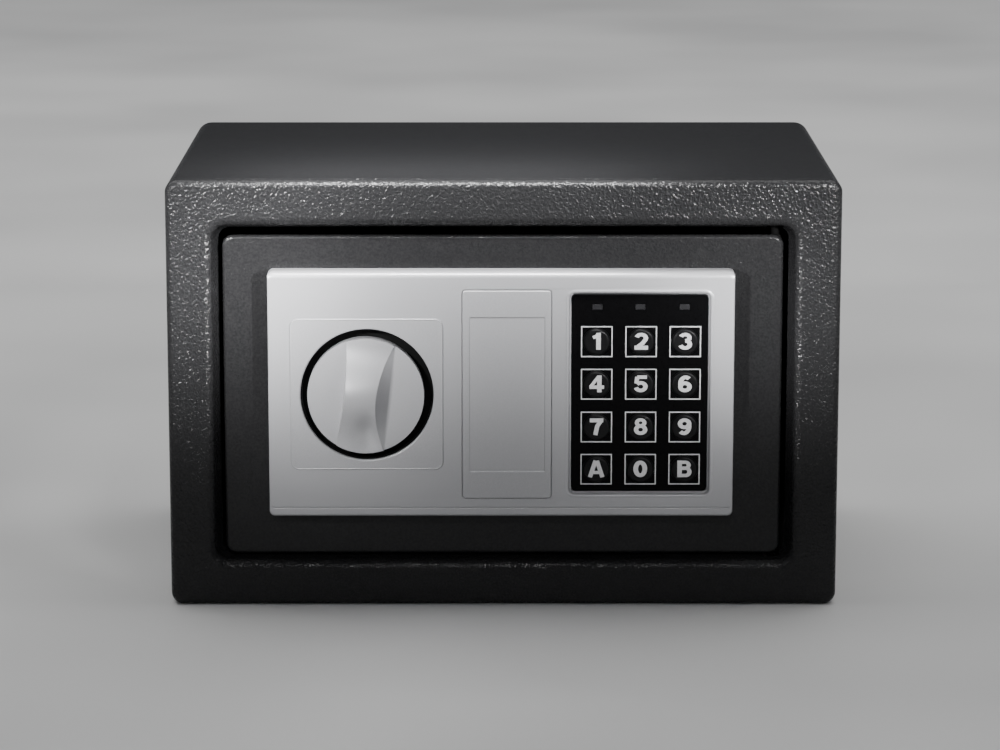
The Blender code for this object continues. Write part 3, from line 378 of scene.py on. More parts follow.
def turned_mesh(name, profile, origin, axis, sides):
    """A turned shape: (radius, distance) along an axis from an origin, from end to end."""
    shape = bmesh.new()
    turn = Vector((0, 0, 1)).rotation_difference(Vector(axis)).to_matrix()
    rings = []
    for radius, along in profile:
        count = sides if radius > 0 else 1
        ring = []
        for n in range(count):
            angle = 2 * math.pi * n / sides
            spot = Vector((radius * math.cos(angle), radius * math.sin(angle), along))
            ring.append(shape.verts.new(origin + turn @ spot))
        rings.append(ring)
    for ring, after in zip(rings, rings[1:]):
        for n in range(sides):
            m = (n + 1) % sides
            corners = [ring[n % len(ring)], ring[m % len(ring)], after[m % len(after)], after[n % len(after)]]
            unique = list(dict.fromkeys(corners))
            if len(unique) > 2:
                shape.faces.new(unique)
    bmesh.ops.recalc_face_normals(shape, faces=shape.faces)
    return finished(shape, name)


def turned(name, profile, origin, axis, body, look, replaces=(), sides=64):
    return add_piece(name, turned_mesh(name, profile, origin, axis, sides), body, look, replaces)


def pin_profile(radius, start, end, chamfer):
    """The profile of a round pin that is chamfered at its end."""
    return [(0, start), (radius, start), (radius, end - chamfer), (radius - chamfer, end), (0, end)]


def solid_of(item):
    """The mesh of an object with its modifiers applied."""
    bpy.context.view_layer.update()
    graph = bpy.context.evaluated_depsgraph_get()
    return bpy.data.meshes.new_from_object(item.evaluated_get(graph))


def loose(name, mesh):
    item = bpy.data.objects.new(name, mesh)
    bpy.context.scene.collection.objects.link(item)
    return item


def combined(mesh, others, operation):
    """Join, cut or intersect a mesh with others, and return the result."""
    item = loose("work", mesh)
    tools = [loose("tool", other) for other in others]
    for tool in tools:
        step = item.modifiers.new("step", "BOOLEAN")
        step.operation = operation
        step.solver = "EXACT"
        step.object = tool
    result = solid_of(item)
    for used in (item, *tools):
        bpy.data.objects.remove(used, do_unlink=True)
    return result


def thickened(mesh, sheet, facing, way):
    """An open surface made into sheet metal; on its outer side, the facing polygon looks along way * Y."""
    outward = facing.normal.y * way > 0
    item = loose("work", mesh)
    solid = item.modifiers.new("sheet", "SOLIDIFY")
    solid.thickness = sheet
    solid.offset = -1 if outward else 1
    solid.use_even_offset = True
    result = solid_of(item)
    bpy.data.objects.remove(item, do_unlink=True)
    return result


def soften(item, width, segments=2, sharper=40):
    """Round off a piece's edges that are sharper than an angle in degrees, ahead of its other modifiers."""
    bevel = item.modifiers.new("edge", "BEVEL")
    bevel.width = width
    bevel.segments = segments
    bevel.limit_method = "ANGLE"
    bevel.angle_limit = math.radians(sharper)
    item.modifiers.move(len(item.modifiers) - 1, 0)


# look, width of the softened edges in millimetres, and the nodes
KEPT_NODES = (
    # the hinge brackets are near-black: partly a dark finish, partly painted shade matching the shadowed gap
    ("hinge_black_and_painted_shade", 0.3, ("hinge_bracket_upper", "hinge_bracket_lower")),
    ("black_plastic", 0.2, ("battery_tray",)),
    ("zinc_steel", 0, ("bolt_carriage", "drive_cam", "knob_screw", "lock_cam", "plunger_spring")),
    ("zinc_steel", 0, ("solenoid_body", "solenoid_plunger")),
    ("circuit_green", 0, ("keypad_circuit_board",)),
    ("black_plastic", 0, ("keypad_cable",)),
)


def dress_kept_nodes():
    """Give the CAD nodes that stay their looks and, where they can be seen, softer edges."""
    for look, edge, names in KEPT_NODES:
        for name in names:
            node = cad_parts[name]
            node.data.materials.clear()
            node.data.materials.append(MATERIALS[look])
            if edge:
                soften(node, edge * MM, 2, 50)


def block(x0, x1, front, back, z0, z1):
    """A box mesh."""
    skin = Skin()
    outline = [(x0, z0), (x1, z0), (x1, z1), (x0, z1)]
    ends = skin.run([[at(x, depth, z) for x, z in outline] for depth in (front, back)])
    for end in ends:
        skin.shape.faces.new(end)
    return skin.mesh("block")


def rod(start, end, radius, sides=48):
    """A cylinder mesh between two points."""
    shape = bmesh.new()
    span = end - start
    size = {"radius1": radius, "radius2": radius, "depth": span.length}
    bmesh.ops.create_cone(shape, cap_ends=True, segments=sides, **size)
    turn = Vector((0, 0, 1)).rotation_difference(span).to_matrix().to_4x4()
    bmesh.ops.transform(shape, matrix=Matrix.Translation((start + end) / 2) @ turn, verts=shape.verts)
    return finished(shape, "rod")


def bolt_holes(start, end, radius):
    """Rods along both bolts from one x to another, used to cut with."""
    return [rod(at(start, BOLT_DEPTH, z), at(end, BOLT_DEPTH, z), radius) for z in BOLT_HEIGHTS]


# ---- Camera, floor and light ----


LENS, SENSOR = 136.2, 36.0  # millimetres
CAMERA_PLACE = -3.3 * MM, -1.7082, 0.4605  # x, depth and height
CAMERA_DIP, CAMERA_TURN = 11.61, -0.056  # degrees below level, and about the vertical

FLOOR_SIZE = 14
SKY_COLOUR, SKY_STRENGTH = (0.92, 0.94, 1.0, 1), 0.10

# name, place, target, width and height of the box, watts, and the angle it shines into in degrees
LIGHTS = (
    ("key", (-0.03, -0.19, 0.335), (-0.03, -0.1, 0.23), (0.18, 0.04), 0.36, 42),
    ("left", (-0.46, -0.80, 0.46), (-0.125, -0.1, 0.185), (0.05, 0.05), 0.26, 17),
    ("right", (0.46, -0.80, 0.46), (0.11, -0.1, 0.195), (0.05, 0.05), 0.20, 17),
    ("left_fold", (-0.50, -0.75, 0.30), (0.145, -0.1, 0.14), (0.02, 0.05), 0.05, 8),
    ("right_fold", (0.50, -0.75, 0.30), (-0.145, -0.1, 0.15), (0.02, 0.05), 0.07, 8),
    ("low", (0.0, -0.90, 0.62), (0.0, -0.1, 0.03), (0.5, 0.02), 0.035, 14),
    ("overhead", (0.0, 0.9, 2.6), (0, 1.6, 0), (5.0, 2.5), 88.0, 180),
)


def make_camera():
    """A long lens, a little above the safe and level across it."""
    data = bpy.data.cameras.new("camera")
    data.lens = LENS
    data.sensor_width = SENSOR
    camera = bpy.data.objects.new("camera", data)
    camera.location = at(*CAMERA_PLACE)
    camera.rotation_euler = (math.radians(90 - CAMERA_DIP), 0, math.radians(CAMERA_TURN))
    bpy.context.scene.collection.objects.link(camera)
    bpy.context.scene.camera = camera


def make_floor():
    shape = bmesh.new()
    bmesh.ops.create_grid(shape, x_segments=8, y_segments=8, size=FLOOR_SIZE)
    floor = loose("floor", finished(shape, "floor"))
    floor.data.materials.append(coat("pale_floor", (0.80, 0.80, 0.79), (0.64, 0.64, 0.635), (400, 2), 0.6))


def make_light(name, place, target, size, power, spread):
    """A soft box that the camera doesn't see."""
    data = bpy.data.lights.new(name, "AREA")
    data.shape = "RECTANGLE"
    data.size, data.size_y = size
    data.energy = power
    data.spread = math.radians(spread)
    light = bpy.data.objects.new(name, data)
    light.location = place
    light.rotation_euler = (Vector(target) - Vector(place)).to_track_quat("-Z", "Y").to_euler()
    light.visible_camera = False
    bpy.context.scene.collection.objects.link(light)


def make_lights():
    world = bpy.data.worlds.new("studio")
    world.use_nodes = True
    background = world.node_tree.nodes["Background"]
    background.inputs["Color"].default_value = SKY_COLOUR
    background.inputs["Strength"].default_value = SKY_STRENGTH
    bpy.context.scene.world = world
    for light in LIGHTS:
        make_light(*light)


# ---- Body ----


def body_outline(depth, by=0.0):
    """The shell's outline at a depth: its corners open out slightly towards the back."""
    corner = FRONT_CORNER + (BACK_CORNER - FRONT_CORNER) * depth / DEPTH
    return inset(BODY_AREA, by, corner, depth)


def make_body_shell():
    """A tube of folded sheet, with two anchor holes in its floor."""
    front, back = depths_of("body_shell")
    skin = Skin()
    depths = [front, front + (back - front) / 3, front + (back - front) * 2 / 3, back]
    edge = 0.25 * MM
    outlines = [body_outline(front, edge)]
    outlines += [body_outline(depth) for depth in (front + edge, *depths[1:])]
    outlines += [body_outline(depth, SHEET) for depth in reversed(depths)]
    first, last = skin.run(outlines)
    skin.bridge(last, first)
    holes = []
    for x in ANCHOR_XS:
        holes.append(rod(at(x, DEPTH / 2, -SHEET), at(x, DEPTH / 2, 2 * SHEET), ANCHOR_RADIUS))
    mesh = combined(skin.mesh("shell"), holes, "DIFFERENCE")
    add_piece("body_shell_steel", mesh, "body", "charcoal_paint", ["body_shell"])


def make_back_panel():
    """The folded back, with two anchor holes."""
    front, back = depths_of("back_panel")
    fold = 3.6 * MM
    skin = Skin()
    outlines = [body_outline(front)]
    outlines += [body_outline(back - drop, by) for by, drop in round_over(fold, 8)]
    _, face = skin.run(outlines)
    skin.fill(face, *[skin.ring(circle(x, MIDDLE, ANCHOR_RADIUS, back, 48)) for x in ANCHOR_XS])
    mesh = skin.mesh("back")
    facing = max(mesh.polygons, key=lambda polygon: polygon.area)
    mesh = thickened(mesh, SHEET, facing, 1)
    add_piece("back_panel_steel", mesh, "body", "charcoal_paint", ["back_panel"])


def make_front_frame():
    """Outer fold, flat face, opening fold, opening wall and return flange, notched for the hinge pins."""
    skin = Skin()
    opening = centred(OPENING_HALF_WIDTH, OPENING_HALF_HEIGHT)
    flange = centred(FLANGE_HALF_WIDTH, FLANGE_HALF_HEIGHT)
    outlines = [inset(BODY_AREA, 0, FRONT_CORNER, FRAME_EDGE)]
    outlines += [inset(BODY_AREA, by, FRONT_CORNER, drop) for by, drop in round_over(FRAME_FOLD, 8)]
    for depth, outset in round_over(OPENING_FOLD, 8):
        outlines.append(inset(opening, -outset, OPENING_CORNER, depth))
    root = 0.4 * MM
    foot = tuple(edge + root * way for edge, way in zip(flange, (-1, 1, -1, 1)))
    outlines.append(inset(foot, 0, OPENING_CORNER - 1 * MM, OPENING_DEPTH - root))
    outlines.append(inset(flange, 0, OPENING_CORNER - 1.4 * MM, OPENING_DEPTH))
    skin.run(outlines)
    mesh = skin.mesh("frame")
    facing = min(mesh.polygons, key=lambda polygon: polygon.center.y)
    mesh = thickened(mesh, FRAME_SHEET, facing, -1)
    reach, near, far = mm(3.8, 76.7, 80.3)
    sides = HINGE_X - reach, HINGE_X + reach, HINGE_DEPTH - reach, HINGE_DEPTH + reach
    notches = [block(*sides, MIDDLE + near, MIDDLE + far), block(*sides, MIDDLE - far, MIDDLE - near)]
    mesh = combined(mesh, notches, "DIFFERENCE")
    add_piece("front_frame_steel", mesh, "body", "charcoal_paint", ["front_frame"])


def make_angle(node, body, look, arms, holes, edge):
    """A sheet metal angle made of two blocks, with clearance holes for the bolts."""
    mesh = combined(arms[0], [arms[1]], "UNION")
    mesh = combined(mesh, bolt_holes(*holes), "DIFFERENCE")
    soften(add_piece(node + "_steel", mesh, body, look, [node]), edge)


def make_strike_plate():
    """The angle behind the left jamb."""
    x0, x1, front, back, z0, z1 = limits("strike_plate")
    arms = block(x1 - SHEET, x1, front, back, z0, z1), block(x0, x1 - SHEET / 2, back - SHEET, back, z0, z1)
    holes = x1 - 3 * SHEET, x1 + SHEET, BOLT_RADIUS + 1 * MM
    make_angle("strike_plate", "body", "charcoal_paint", arms, holes, 0.35 * MM)


def make_floor_mat():
    """A felt mat with softly rolled edges, cut around the anchor holes."""
    x0, x1, front, back, z0, z1 = limits("floor_mat")
    edge, corner, hole_radius, sides = 0.7 * MM, 2 * MM, 7 * MM, 40
    skin = Skin()

    def outline(by, z):
        points = rounded(x0 + by, x1 - by, front + by, back - by, corner, 0, 4)
        return [Vector((point.x, FACE + point.z, z)) for point in points]

    def hole(x, z):
        turns = [2 * math.pi * n / sides for n in range(sides)]
        return [at(x + hole_radius * math.cos(t), DEPTH / 2 + hole_radius * math.sin(t), z) for t in turns]

    low, top = skin.run([outline(0.0, z0)] + [outline(by, z1 - drop) for by, drop in round_over(edge, 4)])
    holes = [skin.run([hole(x, z) for z in (z0, z1)]) for x in ANCHOR_XS]
    skin.fill(low, *[ends[0] for ends in holes])
    skin.fill(top, *[ends[1] for ends in holes])
    mat = add_piece("floor_mat_felt", skin.mesh("mat"), "body", "grey_felt", ["floor_mat"])


# ---- Door ----


def make_door_plate():
    """A thick plate with holes for the knob's shaft, the lock and the keypad's cable."""
    front, back = depths_of("door_plate")
    corner, edge = mm(5, 1.7)
    shaft, lock, cable = 6.5 * MM, LOCK_RADIUS + 0.3 * MM, 4 * MM
    holes = [(KNOB_X, KNOB_Z, shaft), (LOCK_X, LOCK_Z, lock), (63.3 * MM, MIDDLE, cable)]
    area, look = area_of("door_plate"), "door_paint"
    plate("door_plate_steel", area, front, back, corner, edge, "door", look, ["door_plate"], holes)


def make_hinge_arms():
    """At the top and the bottom, a strap on the door's edge and a pin that stands out of it."""
    past, gap, front, back, corner, edge = mm(0.4, 0.3, 9.3, 11.3, 2.7, 0.4)
    radius, chamfer = mm(2, 0.5)
    _, _, door_low, door_high = area_of("door_plate")
    for place, way in (("upper", 1), ("lower", -1)):
        x0, x1, z0, z1 = area_of("hinge_arm_" + place)
        if way > 0:
            door_edge, tip, strap = door_high, z1, (x0, x1, z0, door_high + past)
        else:
            door_edge, tip, strap = door_low, z0, (x0, x1, door_low - past, z1)
        # straps and pins are near-black: partly a dark hinge finish, partly painted shade matching the
        # shadowed gap
        plate("hinge_strap_" + place, strap, front, back, corner, edge, "door", "hinge_black_and_painted_shade")
        profile = pin_profile(radius, 0, abs(tip - door_edge) - gap, chamfer)
        origin = at(HINGE_X, HINGE_DEPTH, door_edge + way * gap)
        node = "hinge_arm_" + place
        turned("hinge_pin_" + place, profile, origin, (0, 0, way), "door", "hinge_black_and_painted_shade", [node], 32)


PANEL_FRONT, PANEL_CORNER = mm(-2.5, 2.6)
PANEL_BAND = 6.5 * MM  # width of the shaped band around the panel's flat face
PANEL_RINGS = 50  # rings across the band
TOP_ROLL, SIDE_ROLL, BEAD_ROLL = mm(3.4, 0.7, 1.4)
ROLL_SHARE = 0.4  # the share of the band's rings that go round its roll
GROOVE_AT, GROOVE_HALF_WIDTH, GROOVE_DROP = mm(4.0, 0.5, 0.35)
PLATEAU = mm(-98.5, -27.7, 65.25, 136.55)  # the raised square around the knob
PLATEAU_RISE = 0.6 * MM
# (inset, rise) steps up the plateau's edge, and over the ridge around the keypad down to its film
PLATEAU_RIM = in_mm(
    (0, 0), (0.12, 0.25), (0.28, 0.58), (0.42, 0.72), (0.55, 0.76), (0.68, 0.74), (0.85, 0.64), (1.0, 0.6),
)
WINDOW_RIDGE = in_mm(
    (-2.65, 0.0), (-2.45, 0.10), (-2.1, 0.24), (-1.75, 0.28), (-1.4, 0.24), (-1.1, 0.05), (-0.95, -0.3),
    (-0.55, -2.3), (-0.4, -2.5), (0.0, -2.5),
)


def roll(share, radius, bend=1):
    """(inset, drop) of a rolled edge that turns into a flat band; share runs from 0 to 1."""
    turn = min(share / ROLL_SHARE, 1) * math.pi / 2
    rest = (max(share - ROLL_SHARE, 0) / (1 - ROLL_SHARE)) ** bend
    by = radius * (1 - math.cos(turn))
    return by + (PANEL_BAND - radius) * rest, radius * (1 - math.sin(turn))


def bead(share):
    """(inset, drop) of the panel's lower edge: a rolled bead, then a narrow groove."""
    by, drop = roll(share, BEAD_ROLL)
    off = min(abs(by - GROOVE_AT) / GROOVE_HALF_WIDTH, 1)
    return by, max(drop, GROOVE_DROP * math.cos(off * math.pi / 2) ** 2)


def panel_ring(area, share):
    """One ring of the panel's edge, whose top, sides and bottom have different shapes."""
    x0, x1, z0, z1 = area
    side, top, bottom = roll(share, SIDE_ROLL, 5), roll(share, TOP_ROLL), bead(share)
    radius = max(PANEL_CORNER - side[0], 0.4 * MM)
    low, high = z0 + bottom[0], z1 - top[0]
    points = []
    for point in rounded(x0 + side[0], x1 - side[0], low, high, radius, 0):
        above = min(max((point.z - (high - radius)) / radius, 0), 1)
        below = min(max(((low + radius) - point.z) / radius, 0), 1)
        drop = side[1] + (top[1] - side[1]) * above**2 + (bottom[1] - side[1]) * below**2
        points.append(at(point.x, PANEL_FRONT + drop, point.z))
    return points


def raised_line(area, corner, profile):
    """Rings that follow an outline through (inset, rise) steps above the panel's face."""
    return [inset(area, by, corner, PANEL_FRONT - rise) for by, rise in profile]


def make_front_panel():
    """The silver moulding: shaped edges, the knob's plateau and well, the cover's pocket, the window."""
    back, area = depths_of("front_panel")[1], area_of("front_panel")
    skin = Skin()
    outlines = [inset(area, 0, PANEL_CORNER, back)]
    outlines += [panel_ring(area, n / PANEL_RINGS) for n in range(PANEL_RINGS + 1)]
    rear, band = skin.run(outlines)

    plateau_foot, plateau_top = skin.run(raised_line(PLATEAU, 4 * MM, PLATEAU_RIM))
    outlines = []
    for sunk, out in round_over(1, 6):
        shift = WELL_SLANT * out
        depth = PANEL_FRONT - PLATEAU_RISE + WELL_LIP * sunk
        outlines.append(circle(WELL_X - shift, WELL_Z - shift, WELL_RADIUS + WELL_LIP * out, depth))
    outlines.append(circle(WELL_X, WELL_Z, WELL_RADIUS, back))
    well_lip, well_end = skin.run(outlines)
    skin.fill(plateau_top, well_lip)

    gap, chamfer = mm(0.3, 0.25)
    floor = depths_of("key_cover")[1] + gap
    steps = [(-chamfer, 0), (0, -chamfer), (0, PANEL_FRONT - floor)]
    pocket_lip, pocket_floor = skin.run(raised_line(area_of("key_cover", gap), 1.8 * MM, steps))
    lock_ends = skin.run([circle(LOCK_X, LOCK_Z, LOCK_RADIUS + gap, depth, 64) for depth in (floor, back)])
    skin.fill(pocket_floor, lock_ends[0])

    steps = WINDOW_RIDGE + [(0, PANEL_FRONT - back)]
    window_lip, window_end = skin.run(raised_line(area_of("keypad_overlay", gap), 1.9 * MM, steps))
    skin.fill(band, plateau_foot, pocket_lip, window_lip)
    skin.fill(rear, well_end, lock_ends[1], window_end)
    add_piece("front_panel_moulding", skin.mesh("panel"), "door", "silver_plastic", ["front_panel"], 50)


def make_knob_well():
    """A black cup around the knob, set into the panel; its black is painted shade for the shadowed well."""
    outer, inner, bore = WELL_RADIUS - 0.05 * MM, WELL_RADIUS - 0.7 * MM, 7.2 * MM
    rim, floor, back = mm(-1.6, 3.2, 5.6)
    profile = [(inner, rim), (outer, rim), (outer, back), (bore, back), (bore, floor), (inner, floor)]
    profile.append(profile[0])
    # the cup's near-black is painted shade: it stands for the shadow down in the well
    turned("knob_well", profile, at(WELL_X, 0, WELL_Z), (0, 1, 0), "door", "painted_shade_black", (), ROUND)


def make_keypad():
    """The black film with its openings, the three lenses and the keys."""
    front, back = depths_of("keypad_overlay")
    holes = [(*middle_of(name), KEY_RADIUS + 0.2 * MM) for name in KEY_LABELS]
    for name in ("lens_left", "lens_middle", "lens_right"):
        holes.append((*area_of(name, 0.1 * MM), 0.3 * MM))
        near, far = depths_of(name)
        near, corner, edge = near + 0.05 * MM, 0.25 * MM, 0.12 * MM
        plate(name + "_window", area_of(name), near, far, corner, edge, "door", "lens_grey", [name])
    area, corner, edge = area_of("keypad_overlay"), 1.9 * MM, 0.15 * MM
    plate("keypad_film", area, front, back, corner, edge, "door", "black_overlay", ["keypad_overlay"], holes)
    for name in KEY_LABELS:
        make_key(name, *middle_of(name), front)


def crown(radius):
    """How far a key stands above the film at a radius from its middle."""
    flat, rise = mm(5.1, 0.9)
    turn = min(max(radius - flat, 0) / (KEY_RADIUS - flat), 1) * math.pi / 2
    return rise * math.cos(turn)


def make_key(name, x, z, front):
    """A domed key, its printed label and the printed square around it."""
    body, rings, foot = name + "_body", 24, 1.8 * MM
    profile = [(KEY_RADIUS * n / rings, -crown(KEY_RADIUS * n / rings)) for n in range(rings + 1)]
    profile += [(KEY_RADIUS, foot), (0, foot)]
    turned(name + "_dome", profile, at(x, front, z), (0, 1, 0), body, "key_rubber", [name], 48)
    add_piece(name + "_label", glyph(KEY_LABELS[name], x, z, front), body, "label_print")
    outer, line, sunk, proud, corner = mm(7.25, 0.5, 0.02, -0.05, 0.15)
    inner = outer - line
    skin = Skin()
    outlines = []
    for half, rise in ((outer, sunk), (outer, proud), (inner, proud), (inner, sunk)):
        outlines.append(rounded(x - half, x + half, z - half, z + half, corner, front + rise, 2))
    first, last = skin.run(outlines)
    skin.bridge(last, first)
    add_piece(name + "_frame_print", skin.mesh("square"), "door", "label_print")


# ---- Labels ----

KEY_LABELS = {"key_" + label.lower(): label for label in "123456789A0B"}


def bow(x, z, rx, rz, start, end):
    """Points along part of an ellipse, angles in degrees."""
    count = max(8, int(abs(end - start) / 9))
    turns = [math.radians(start + (end - start) * n / count) for n in range(count + 1)]
    return [(x + rx * math.cos(t), z + rz * math.sin(t)) for t in turns]


# each stroke is (pen width, points, True for a closed one), in millimetres from the label's middle
STROKES = {
    "0": [(2.2, bow(0, 0, 2.1, 3.05, 0, 360), True)],
    "1": [(2.1, [(0.75, -3.95), (0.75, 3.95)]), (1.8, [(0.6, 3.0), (-0.5, 2.15), (-1.8, 1.7)])],
    "2": [
        (2.0, bow(0, 1.45, 2.1, 1.7, 165, -30) + [(0.7, -0.9), (-1.6, -2.6)]),
        (2.3, [(-3.1, -3.0), (3.15, -3.0)]),
    ],
    "3": [
        (1.95, bow(-0.1, 1.65, 1.95, 1.5, 160, -88)),
        (2.1, bow(-0.1, -1.45, 2.15, 1.7, 88, -165)),
    ],
    "4": [
        (2.0, [(1.25, -3.95), (1.25, 3.95)]),
        (1.6, [(0.8, 3.3), (-2.6, -1.1)]),
        (2.0, [(-3.35, -1.55), (3.45, -1.55)]),
    ],
    "5": [
        (2.0, [(-1.7, 3.15), (2.75, 3.15)]),
        (1.9, [(-1.7, 3.3), (-2.05, 0.2)]),
        (2.05, bow(-0.1, -1.3, 2.2, 1.8, 140, -165)),
    ],
    "6": [(2.1, bow(0, -1.4, 2.1, 1.7, 0, 360), True), (2.1, bow(0.3, -0.1, 2.4, 3.2, 205, 50))],
    "7": [(2.3, [(-3.1, 3.0), (3.15, 3.0)]), (2.0, [(2.1, 2.8), (0.4, 0.3), (-0.5, -3.95)])],
    "8": [(1.85, bow(0, 1.85, 1.75, 1.4, 0, 360), True), (2.05, bow(0, -1.4, 2.1, 1.7, 0, 360), True)],
    "9": [(2.1, bow(0, 1.4, 2.1, 1.7, 0, 360), True), (2.1, bow(-0.3, 0.1, 2.4, 3.2, 25, -130))],
    "A": [
        (2.0, [(-2.9, -3.95), (-0.3, 3.95)]),
        (2.0, [(2.9, -3.95), (0.3, 3.95)]),
        (1.9, [(-1.9, -1.7), (1.9, -1.7)]),
    ],
    "B": [
        (2.1, [(-2.1, -3.95), (-2.1, 3.95)]),
        (1.9, [(-2.2, 3.15), (0.5, 3.15)] + bow(0.5, 1.75, 1.6, 1.4, 80, -80) + [(-2.2, 0.4)]),
        (2.0, [(-2.2, 0.3), (0.7, 0.3)] + bow(0.7, -1.42, 1.75, 1.72, 80, -80) + [(-2.2, -3.14)]),
    ],
}
THIN = 0.8  # thickness of a level stroke as a share of an upright one
LABEL_RISE = 0.35 * MM  # labels sit a little above the middle of their keys
LABEL_SLAB = 12, 1, 12  # millimetres: wider than any label, and thinner than its strokes
INK_SUNK, INK_PROUD = mm(-0.06, 0.03)  # a label's two faces, from the key's top


def pen(reach, width, points, closed=False):
    """A ribbon along a path, as a solid in label space (x, height, z), in millimetres."""
    points = [Vector((x, z)) for x, z in points]
    if closed:
        points = points[:-1]
    count = len(points)
    sides = ([], [])
    for n, point in enumerate(points):
        before = points[n - 1] if n or closed else point
        after = points[(n + 1) % count] if n < count - 1 or closed else point
        into, out = (point - before), (after - point)
        into = into.normalized() if into.length else out.normalized()
        out = out.normalized() if out.length else into
        along = (into + out).normalized()
        across = Vector((-along.y, along.x * THIN)) * (width / 2 / max(along.dot(out), 0.5))
        sides[0].append(point + across)
        sides[1].append(point - across)
    skin = Skin()
    if closed:
        edges = ((sides[0], -reach), (sides[0], reach), (sides[1], reach), (sides[1], -reach))
        rings = [skin.ring([(p.x, height, p.y) for p in side]) for side, height in edges]
        for n in range(4):
            skin.bridge(rings[n], rings[(n + 1) % 4])
    else:
        outline = sides[0] + sides[1][::-1]
        low, high = skin.run([[(p.x, height, p.y) for p in outline] for height in (-reach, reach)])
        half = len(sides[0])
        for ring in (low, high):
            for n in range(half - 1):
                skin.shape.faces.new((ring[n], ring[n + 1], ring[-n - 2], ring[-n - 1]))
    return skin.mesh("stroke")


def glyph(letter, x, z, front):
    """A printed label on a key's flat top: strokes of unlike heights joined, then cut to one thickness."""
    strokes = [pen(2 + 0.2 * n, *stroke) for n, stroke in enumerate(STROKES[letter])]
    mesh = combined(strokes[0], strokes[1:], "UNION")
    shape = bmesh.new()
    bmesh.ops.create_cube(shape, size=1.0)
    bmesh.ops.scale(shape, vec=LABEL_SLAB, verts=shape.verts)
    mesh = combined(mesh, [finished(shape, "slab")], "INTERSECT")
    for vertex in mesh.vertices:
        across, up = vertex.co.x * MM, vertex.co.z * MM
        ink = INK_PROUD if vertex.co.y < 0 else INK_SUNK
        vertex.co = at(x + across, front - crown(0) - ink, z + LABEL_RISE + up)
    return mesh


# ---- Knob ----

GRIP_LEAN = math.radians(6.2)
GRIP_FOOT = 11.1 * MM  # half the grip's width at the disc
GRIP_RISE, GRIP_END_RISE, GRIP_CROWN = mm(8.95, 1.1, 0.42)
GRIP_HALF_LENGTH = 24.0 * MM
GRIP_WAISTS = mm(6.2, 1.6)  # how far the right and left edges draw in at the middle
WAIST_HALF_LENGTHS = mm(25.5, 22.0)
HOLLOW_ALONG, HOLLOW_ACROSS = mm(-16.0, 3.8)
HOLLOW_LENGTH, HOLLOW_WIDTH, HOLLOW_DEPTH = mm(7.5, 6.0, 2.7)
GRIP_STEEP = 0.06  # the left wall's draft, and the least that the right wall has
KNOB_FRONT = -3.0 * MM
GRIP_REACH = 31 * MM  # past the disc's edge, where the grip is cut round
GRIP_FILLET, GRIP_FILLET_LEAST = mm(2.2, 0.1)
GRIP_SLICES = 80


def grip_rise(along):
    """The grip's height above the disc, along its length."""
    share = min(abs(along) / GRIP_HALF_LENGTH, 1)
    return GRIP_END_RISE + (GRIP_RISE - GRIP_END_RISE) * math.cos(share * math.pi / 2) ** 2


def thumb_hollow(along, across):
    """How far the grip's lower half is dished for a thumb, at a place on its top."""
    away = ((along - HOLLOW_ALONG) / HOLLOW_LENGTH) ** 2 + ((across - HOLLOW_ACROSS) / HOLLOW_WIDTH) ** 2
    return HOLLOW_DEPTH * math.exp(-away)


def grip_waist(along, side):
    """How far the right (0) or left (1) edge of the grip draws in, along its length."""
    return GRIP_WAISTS[side] * (1 - min(abs(along) / WAIST_HALF_LENGTHS[side], 1) ** 2)


def grip_wall(rise, waist, draft):
    """(across, rise) points from the disc up one wall of the grip to its top, through a fillet."""
    edge = GRIP_FOOT - waist
    root = edge + rise * draft
    lean = math.atan(1 / draft)
    fillet = min(GRIP_FILLET, rise) * min(draft / 0.5, 1) + GRIP_FILLET_LEAST
    foot = root + fillet * math.tan(lean / 2)
    points = [(GRIP_REACH, 0.0), (foot, 0.0)]
    for n in range(1, 7):
        turn = lean * n / 6
        points.append((max(foot - fillet * math.sin(turn), edge), min(fillet * (1 - math.cos(turn)), rise)))
    points.append((edge, rise))
    return points


def grip_section(along):
    """(across, rise) points over the knob at a place along the grip, from right to left."""
    rise = grip_rise(along)
    right_waist, left_waist = grip_waist(along, 0), grip_waist(along, 1)
    right = grip_wall(rise, right_waist, max(right_waist / rise, GRIP_STEEP))
    left = grip_wall(rise, left_waist, GRIP_STEEP)
    middle, half = (right[-1][0] - left[-1][0]) / 2, (right[-1][0] + left[-1][0]) / 2
    crown = []
    for n in range(1, 16):
        off = 1 - n / 8
        across = middle + half * off
        hollow = thumb_hollow(along, across) * (1 - off**4)
        crown.append((across, rise + GRIP_CROWN * (1 - off**2) - hollow))
    return right + crown + [(-across, height) for across, height in reversed(left)]


